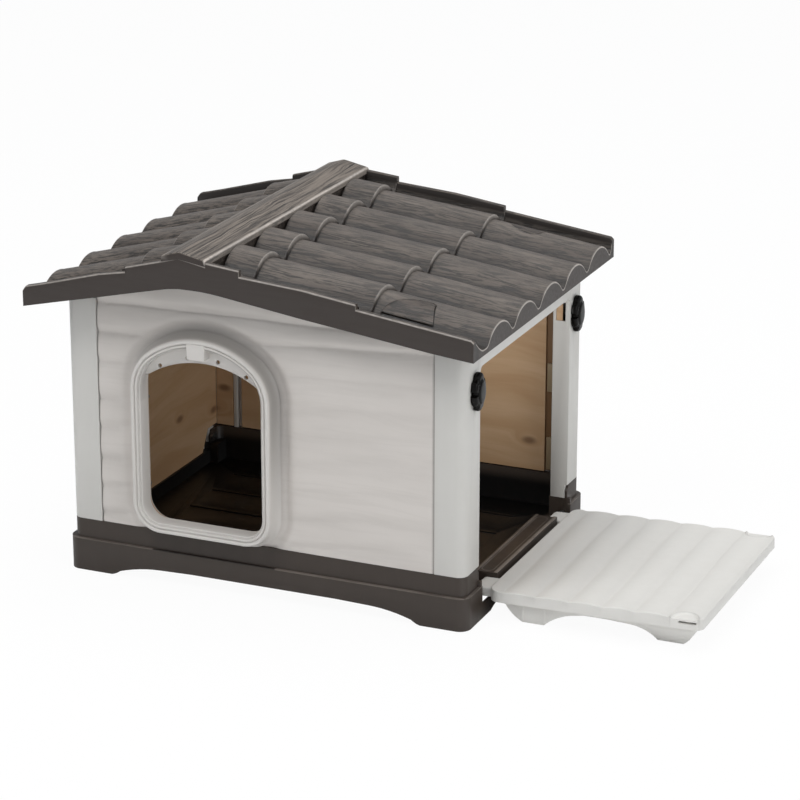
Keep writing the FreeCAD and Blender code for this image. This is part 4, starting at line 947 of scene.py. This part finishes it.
# ---- knobs ----------------------------------------------------------------------------
def make_knob(side):
    """Lobed oval: rings of a dome profile whose radius is cut by square notches between the
    lobes; the spindle runs back into the post."""
    a = np.linspace(0, 2 * math.pi, 240, endpoint=False)
    oval = 1.0 / np.sqrt((np.cos(a) / KNOB_SHORT) ** 2 + (np.sin(a) / KNOB_LONG) ** 2)
    notch = 1 / (1 + np.exp(-(np.cos(6 * a) - 0.55) / 0.06))
    notch = notch + 1.2 * (np.abs(a - math.pi) < 0.2)
    # x and radius of the spindle; x, share of the oval and share of the notches of the dome
    rows = [(x, np.full(a.size, r)) for x, r in ((318.6, 0.0), (318.6, 5.9), (326.0, 5.9), (329.0, 5.9))]
    dome = ((327.5, 0.55, 0.0), (327.5, 0.90, 0.4), (328.2, 0.985, 1.0), (329.5, 1.0, 1.0),
            (334.0, 0.995, 1.0), (336.0, 0.95, 1.0), (337.4, 0.86, 0.9), (337.9, 0.76, 0.5),
            (338.0, 0.66, 0.1), (339.4, 0.60, 0.0), (340.2, 0.52, 0.0), (340.5, 0.36, 0.0),
            (340.5, 0.0, 0.0))
    rows += [(x, oval * share * (1 - 0.15 * notch * cut)) for x, share, cut in dome]
    rings = np.stack([np.stack([np.full(a.size, x), r * np.cos(a), r * np.sin(a)], -1) for x, r in rows])
    points = rings + np.array([0.0, side * KNOB_Y, KNOB_Z])
    faces = quads(len(rows), a.size, wrap_columns=True)
    place = PLACE[side]
    knob = finish_mesh("turn_knob_" + place, in_scene(points.reshape(-1, 3)), faces.tolist(), 45.0)
    outwards(knob)
    return settle(knob, "knob_" + place, "black_plastic", "latch_knob_" + place)


# ---- materials ------------------------------------------------------------------------
def linear(r, g, b):
    """Colour written as 0 to 255 to the shader's linear values."""
    def one(v):
        v = v / 255.0
        return v / 12.92 if v <= 0.04045 else ((v + 0.055) / 1.055) ** 2.4
    return (one(r), one(g), one(b), 1.0)


class Value:
    """A number that comes out of a node, with arithmetic that adds Math nodes."""

    def __init__(self, shade, socket):
        self.shade, self.socket = shade, socket

    def _math(self, operation, *values):
        return self.shade.node("ShaderNodeMath", {"operation": operation}, dict(enumerate(values)))

    def __add__(self, other):
        return self._math("ADD", self, other)

    def __sub__(self, other):
        return self._math("SUBTRACT", self, other)

    def __rsub__(self, other):
        return self._math("SUBTRACT", other, self)

    def __mul__(self, other):
        return self._math("MULTIPLY", self, other)

    def __truediv__(self, other):
        return self._math("DIVIDE", self, other)

    def __pow__(self, other):
        return self._math("POWER", self, other)

    __radd__, __rmul__ = __add__, __mul__

    def size(self):
        return self._math("ABSOLUTE", self)

    def least(self, other):
        return self._math("MINIMUM", self, other)

    def most(self, other):
        return self._math("MAXIMUM", self, other)

    def between(self, low, high):
        """0 below low, 1 above high, smooth in between."""
        return self.shade.node("ShaderNodeMapRange", {"interpolation_type": "SMOOTHSTEP"},
                               {"Value": self, "From Min": low, "From Max": high})

    def near(self, low, edge, high, end):
        """1 between two soft edges: rises from low to edge and falls from high to end."""
        return self.between(low, edge) * (1.0 - self.between(high, end))


class Shade:
    """One material and the nodes in it."""

    def __init__(self, name, roughness=0.5, metallic=0.0, coat=0.0, specular=0.5):
        self.material = bpy.data.materials.new(name)
        self.material.use_nodes = True
        self.tree = self.material.node_tree
        self.bsdf = self.tree.nodes["Principled BSDF"]
        self.bsdf.inputs["Roughness"].default_value = roughness
        self.bsdf.inputs["Metallic"].default_value = metallic
        self.bsdf.inputs["Coat Weight"].default_value = coat
        self.bsdf.inputs["Specular IOR Level"].default_value = specular
        self.place = self.node("ShaderNodeTexCoord", {}, {}, "Object")

    def node(self, kind, settings, inputs, output=0):
        made = self.tree.nodes.new(kind)
        for key, value in settings.items():
            setattr(made, key, value)
        for key, value in inputs.items():
            self.join(made.inputs[key], value)
        return Value(self, made.outputs[output])

    def join(self, socket, value):
        if isinstance(value, Value):
            self.tree.links.new(value.socket, socket)
        else:
            socket.default_value = value

    def stretched(self, sx, sy, sz):
        """The place on the object, scaled differently along the three axes."""
        return self.node("ShaderNodeMapping", {}, {"Vector": self.place, "Scale": (sx, sy, sz)})

    def part(self, axis):
        """One coordinate of the place on the object."""
        return self.node("ShaderNodeSeparateXYZ", {}, {0: self.place}, axis)

    def noise(self, vector, scale=1.0, detail=3.0, roughness=0.55, distortion=0.0):
        return self.node("ShaderNodeTexNoise", {}, {"Vector": vector, "Scale": scale, "Detail": detail,
                                                    "Roughness": roughness, "Distortion": distortion})

    def attribute(self, name):
        return self.node("ShaderNodeAttribute", {"attribute_name": name}, {}, "Fac")

    def mix(self, factor, a, b):
        return self.node("ShaderNodeMix", {"data_type": "RGBA"}, {0: factor, 6: a, 7: b}, 2)

    def moved(self, place, x, y, z):
        """A place moved by three numbers."""
        offset = self.node("ShaderNodeCombineXYZ", {}, {0: x, 1: y, 2: z})
        return self.node("ShaderNodeVectorMath", {"operation": "ADD"}, {0: place, 1: offset})

    def along(self):
        """x about the house in millimetres."""
        return self.part(0) * 1000.0 - SHIFT_X

    def colour(self, value):
        self.join(self.bsdf.inputs["Base Color"], value)

    def rough(self, value):
        self.join(self.bsdf.inputs["Roughness"], value)

    def bump(self, height, strength, distance):
        made = self.node("ShaderNodeBump", {}, {"Strength": strength, "Distance": distance, "Height": height})
        self.join(self.bsdf.inputs["Normal"], made)


def mottled(shade, colour, dark):
    """Faint mottling between two colours; also its scuffs and its fine grain."""
    cloud = shade.noise(shade.place, 9.0, 4.0)
    fine = shade.noise(shade.place, 900.0, 2.0)
    scuff = shade.noise(shade.stretched(60.0, 60.0, 12.0), 1.0, 5.0, 0.6)
    spots = (cloud * 0.5 + scuff * 0.5 - 0.32) * 0.8
    return shade.mix(spots, linear(*colour), linear(*dark)), scuff, fine + scuff * 0.6


def moulded(name, colour, dark, rough=0.45):
    """Moulded plastic: faint mottling, painted shade where a piece carries it, a fine grain and slightly
    uneven gloss.
    """
    shade = Shade(name, roughness=rough)
    body, scuff, grain = mottled(shade, colour, dark)
    # painted shade from the shade attribute
    shade.colour(shade.mix(shade.attribute("shade"), body, linear(*HOLLOW_SHADE)))
    shade.rough(scuff * 0.18 + (rough - 0.09))
    shade.bump(grain, 0.25, 0.0002)
    return shade.material


def roof_grain(name, along="x"):
    """Drawn wood grain in brown-grey plastic: long warped streaks and fine pores along the
    slope, darker in the strokes, with painted shade in the hollows, and paler where the edges are abraded and
    where painted highlights lie."""
    shade = Shade(name, roughness=0.5)
    tone, wear_and_highlight, plain = shade.attribute("tone"), shade.attribute("wear_and_highlight"), shade.attribute("plain")
    painted_shade = shade.attribute("painted_shade")
    slow = (5.0, 24.0, 14.0) if along == "x" else (24.0, 5.0, 14.0)
    quick = (6.0, 360.0, 200.0) if along == "x" else (420.0, 7.0, 210.0)
    hair = (16.0, 1200.0, 700.0) if along == "x" else (1200.0, 16.0, 700.0)
    warp = shade.noise(shade.stretched(*slow), 1.0, 3.0, 0.55, 0.6)
    if along == "x":
        shift = (tone * 13.0, tone * 7.0 + warp * 9.0, tone * 3.0)
    else:
        shift = (warp * 9.0, tone * 7.0, tone * 3.0)
    streak = shade.noise(shade.moved(shade.stretched(*quick), *shift), 1.0, 5.0, 0.62)
    pores = shade.noise(shade.stretched(*hair), 1.0, 2.0, 0.5)
    broad = shade.noise(shade.stretched(*(1.6 * s for s in slow)), 1.0, 2.0)
    lines = streak.between(0.38, 0.60)
    ink = (1.0 - lines) * 0.85 + pores.between(0.45, 0.68) * 0.45
    drawn = ink * (1.0 - plain)
    body = shade.mix(broad.between(0.3, 0.75), linear(*ROOF_PALE), linear(*ROOF_MID))
    body = shade.mix(drawn.between(0.1, 1.0), body, linear(*ROOF_INK))
    body = shade.mix(plain, body, linear(*ROOF_PLAIN))
    # painted shade in the hollows, at the steps and inside the rims
    body = shade.mix((painted_shade * 0.7).least(1.0), body, linear(*ROOF_SHADE))
    scratch = shade.noise(shade.stretched(140.0, 140.0, 140.0), 1.0, 3.0)
    # pale edges: abrasion with painted highlights
    body = shade.mix((wear_and_highlight * (scratch * 0.9 + 0.45)).least(1.0), body, linear(*ROOF_WEAR_HIGHLIGHT))
    if along == "y":
        body = shade.mix((lines * 0.13 + 0.02) * (1.0 - plain), body, linear(*CAP_STREAK))
    shade.colour(body)
    shade.rough(lines * 0.10 + 0.44)
    relief = (lines * 0.7 - pores.between(0.45, 0.75) * 0.3) * (1.0 - plain)
    shade.bump(relief + plain * 0.3, 0.6, 0.0006)
    return shade.material


def base_finish(name):
    """Dark brown tray: painted highlight lines on the outer edge of the ledge and of the sill, a bead
    with round ends drawn on the sill with a painted highlight, painted shade in the groove below the door,
    and a floor inside painted nearly black as shade, and shiny."""
    shade = Shade(name, roughness=0.42)
    body, scuff, grain = mottled(shade, BASE_PALE, BASE_DARK)
    x = shade.along()
    y = shade.part(1).size() * 1000.0
    z = shade.part(2) * 1000.0
    # painted highlight along the outer edge of the ledge
    outer = y.between(244.0, 246.0).most(x.between(328.0, 329.5))
    ledge = z.near(50.6, 51.6, 52.2, 53.4) * outer
    # painted shade of a groove below the door, in place of the ledge highlight
    gap = x.near(-189.0, -185.0, 18.0, 22.0)
    # painted highlight on the inner lip of the sill and on the drawn bead
    sill = x.between(296.0, 299.0) * (1.0 - y.between(180.0, 186.0))
    lip = sill * z.near(50.5, 51.2, 52.0, 53.0)
    past = (y - 112.5).most(0.0)
    stadium = ((past * past + (x - 312.5) * (x - 312.5)) ** 0.5 - 9.5).size()
    bead = sill * z.between(48.0, 49.5) * (1.0 - stadium.between(0.3, 1.2))
    # noise that breaks the painted highlights into patches
    patch_noise = shade.noise(shade.stretched(14.0, 14.0, 60.0), 1.0, 4.0, 0.7)
    highlight_patches = patch_noise.between(0.32, 0.6) * 0.5 + 0.5
    body = shade.mix(ledge * (1.0 - gap) * highlight_patches * 0.4, body, linear(*BASE_HIGHLIGHT))
    body = shade.mix(ledge * gap * 0.7, body, linear(*BASE_GROOVE_SHADE))
    body = shade.mix((lip * 0.55 + bead * 0.4) * highlight_patches, body, linear(*BASE_HIGHLIGHT))
    # painted shade: the floor inside the tray is darkened nearly to black
    inside = (1.0 - y.between(231.0, 234.0)) * (1.0 - x.between(290.0, 294.0))
    inside = inside * (1.0 - z.between(60.0, 78.0))
    body = shade.mix(inside, body, linear(*BASE_INSIDE_SHADE))
    shade.colour(body)
    shade.rough(scuff * 0.18 + 0.34 - inside * 0.1)
    shade.bump(grain + bead * 3.0, 0.25, 0.0002)
    return shade.material


def board_grain(name):
    """Pale plastic boards with a soft wood grain that runs level along the wall, and painted shade where the
    wall carries it.
    """
    shade = Shade(name, roughness=0.5)
    hollow = shade.attribute("shade")
    warp = shade.noise(shade.stretched(3.0, 3.0, 16.0), 1.0, 2.0, 0.5, 0.4)
    where = shade.moved(shade.stretched(7.0, 7.0, 110.0), 0.0, 0.0, warp * 6.0)
    streak = shade.noise(where, 1.0, 4.0, 0.6)
    cloud = shade.noise(shade.stretched(2.5, 2.5, 7.0), 1.0, 3.0)
    soft = streak.between(0.42, 0.68)
    body = shade.mix(cloud.between(0.3, 0.7), linear(*WALL_PALE), linear(*WALL_MID))
    body = shade.mix(soft * 0.12, body, linear(*WALL_GRAIN))
    # painted shade from the shade attribute
    shade.colour(shade.mix(hollow, body, linear(*WALL_HOLLOW_SHADE)))
    shade.rough(soft * 0.08 + 0.46)
    shade.bump(streak * 0.5 + warp * 0.5, 0.25, 0.0005)
    return shade.material


def pine(name):
    """Pine board: straight yellow-brown grain with a few dark, flattened knots, and painted shade on the
    battens beside the posts.
    """
    shade = Shade(name, roughness=0.6)
    rings = None
    for x, y, z in KNOTS:
        at = ((x + SHIFT_X) * MM, y * MM, z * MM * KNOT_FLAT)
        away = shade.node("ShaderNodeVectorMath", {"operation": "DISTANCE"},
                          {0: shade.stretched(1.0, 1.0, KNOT_FLAT), 1: at}, "Value")
        rings = away if rings is None else rings.least(away)
    bend = (1.0 - rings.between(0.0, 0.04)) * 0.6
    warp = shade.noise(shade.stretched(2.2, 2.2, 6.0), 1.0, 2.0)
    where = shade.moved(shade.stretched(3.0, 3.0, 34.0), 0.0, 0.0, warp * 5.0 + bend * 2.0)
    grain = shade.noise(where, 1.0, 4.0, 0.55)
    fibre = shade.noise(shade.stretched(20.0, 20.0, 700.0), 1.0, 2.0)
    body = shade.mix(grain.between(0.3, 0.7), linear(*PINE_PALE), linear(*PINE_MID))
    body = shade.mix(fibre.between(0.5, 0.75) * 0.15, body, linear(*PINE_FIBRE))
    body = shade.mix((1.0 - rings.between(0.004, 0.018)) * 0.75, body, linear(*PINE_KNOT))
    # painted shade on the pine between x 271 and 301, the battens behind the board edges
    body = shade.mix(shade.along().near(271.0, 272.5, 299.0, 301.0), body, linear(*PINE_SHADED))
    shade.colour(body)
    shade.rough(grain * 0.1 + 0.55)
    shade.bump(fibre * 0.5 + grain * 0.5, 0.3, 0.0004)
    return shade.material


def gloss_black(name):
    """Black plastic of the knobs, slightly uneven in gloss."""
    shade = Shade(name, roughness=0.2, specular=0.14)
    cloud = shade.noise(shade.place, 40.0, 3.0)
    shade.colour(shade.mix(cloud, linear(12, 11, 10), linear(20, 18, 17)))
    shade.rough(cloud * 0.12 + 0.20)
    shade.bump(shade.noise(shade.place, 250.0, 2.0), 0.12, 0.0002)
    return shade.material


def zinc(name):
    """Zinc-plated steel."""
    shade = Shade(name, roughness=0.35, metallic=1.0)
    cloud = shade.noise(shade.place, 300.0, 3.0)
    shade.colour(shade.mix(cloud, linear(176, 176, 172), linear(140, 140, 138)))
    shade.rough(cloud * 0.2 + 0.28)
    shade.bump(cloud, 0.2, 0.0001)
    return shade.material


def dress():
    """Gives every piece and every node the finish of its slot."""
    finishes = {
        "base_plastic": base_finish("base_plastic_finish"),
        "roof_plastic": roof_grain("roof_plastic_finish"),
        "wall_plastic": board_grain("wall_plastic_finish"),
        "post_plastic": moulded("post_plastic_finish", POST_PALE, POST_DARK, rough=0.46),
        "frame_plastic": moulded("frame_plastic_finish", FRAME_PALE, FRAME_DARK, rough=0.44),
        "porch_plastic": moulded("porch_plastic_finish", PORCH_PALE, PORCH_DARK, rough=0.48),
        "pine_board": pine("pine_finish"),
        "black_plastic": gloss_black("black_plastic_finish"),
        "steel": zinc("zinc_finish"),
    }
    # the lining clips get a shaded copy of the post plastic: painted shade
    own = {"ridge_cap_moulding": roof_grain("ridge_cap_finish", along="y"),
           "soft_lining_clips": moulded("clip_shaded_finish", CLIP_SHADED_PALE, CLIP_SHADED_DARK)}
    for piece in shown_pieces():
        slot = NODE_SLOTS.get(piece.get("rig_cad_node", ""), piece.get("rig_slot"))
        finish = own.get(piece.name, finishes[slot])
        if not piece.data.materials:
            piece.data.materials.append(finish)
        for holder in piece.material_slots:
            holder.link = "OBJECT"
            holder.material = finish


# ---- studio ---------------------------------------------------------------------------
def aimed(name, data, place, target):
    """Lamp or camera at a place, turned to its target."""
    holder = linked(name, data)
    holder.location = place
    way = Vector((np.array(target) - np.array(place)).tolist())
    holder.rotation_mode = "QUATERNION"
    holder.rotation_quaternion = way.to_track_quat("-Z", "Y")
    return holder


def area_lamp(name, place, target, size, power):
    """Square lamp that the camera doesn't see."""
    lamp = bpy.data.lights.new(name, "AREA")
    lamp.shape, lamp.size, lamp.energy = "SQUARE", size, power
    aimed(name, lamp, place, target).visible_camera = False


def seen_white(tree, kind, shader, share, output, socket):
    """Mixes a shader with plain white light, by the given share, for what the camera sees."""
    path = tree.nodes.new("ShaderNodeLightPath")
    white = tree.nodes.new(kind)
    white.inputs["Color"].default_value = (1, 1, 1, 1)
    part = tree.nodes.new("ShaderNodeMath")
    part.operation = "MULTIPLY"
    part.inputs[1].default_value = share
    mix = tree.nodes.new("ShaderNodeMixShader")
    tree.links.new(path.outputs["Is Camera Ray"], part.inputs[0])
    tree.links.new(part.outputs[0], mix.inputs[0])
    tree.links.new(shader.outputs[0], mix.inputs[1])
    tree.links.new(white.outputs[0], mix.inputs[2])
    tree.links.new(mix.outputs[0], tree.nodes[output].inputs[socket])


def make_world():
    """Soft light from all round; the camera sees it as white."""
    world = bpy.data.worlds.new("studio")
    bpy.context.scene.world = world
    world.use_nodes = True
    sky = world.node_tree.nodes["Background"]
    sky.inputs["Color"].default_value = WORLD_COLOUR
    sky.inputs["Strength"].default_value = WORLD_STRENGTH
    seen_white(world.node_tree, "ShaderNodeBackground", sky, 1.0, "World Output", "Surface")


def make_floor():
    """White paper that keeps a little of the shadow."""
    mesh = bpy.data.meshes.new("floor")
    corners = [(a * FLOOR_HALF, b * FLOOR_HALF, FLOOR_Z) for a, b in ((-1, -1), (1, -1), (1, 1), (-1, 1))]
    mesh.from_pydata(corners, [], [(0, 1, 2, 3)])
    linked("floor", mesh)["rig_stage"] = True
    paper = bpy.data.materials.new("floor_paper")
    paper.use_nodes = True
    bsdf = paper.node_tree.nodes["Principled BSDF"]
    bsdf.inputs["Base Color"].default_value = (FLOOR_GREY, FLOOR_GREY, FLOOR_GREY, 1)
    bsdf.inputs["Roughness"].default_value = 0.9
    seen_white(paper.node_tree, "ShaderNodeEmission", bsdf, FLOOR_WHITE, "Material Output", "Surface")
    mesh.materials.append(paper)


def studio():
    bpy.context.scene.view_settings.view_transform = "Standard"
    make_world()
    make_floor()
    for lamp in LAMPS:
        area_lamp(*lamp)


def camera():
    """The photograph's view: long lens, a little to the right of the front, from above."""
    data = bpy.data.cameras.new("camera")
    data.lens, data.sensor_width = LENS, SENSOR
    data.clip_start, data.clip_end = 0.1, 50.0
    spot, aim = in_scene(CAMERA_SPOT), in_scene(CAMERA_AIM)
    bpy.context.scene.camera = aimed("camera", data, spot.tolist(), aim.tolist())


# ---- build ----------------------------------------------------------------------------
camera()
studio()
make_roof()
for end in (-1, 1):
    make_cover_gap_shade(end)
for end in (-1, 1):
    make_cover(end)
make_ridge_cap()
make_front_wall()
make_back_wall()
make_left_wall()
make_door_frame()
make_visor()
make_trim()
make_porch()
for end in (-1, 1):
    make_knob(end)
for node, width in ROUNDED:
    settle(softened(node, width), "house", NODE_SLOTS[node], node)
settle(softened("porch_underframe", 1.2), "porch", "porch_plastic", "porch_underframe")
dress()
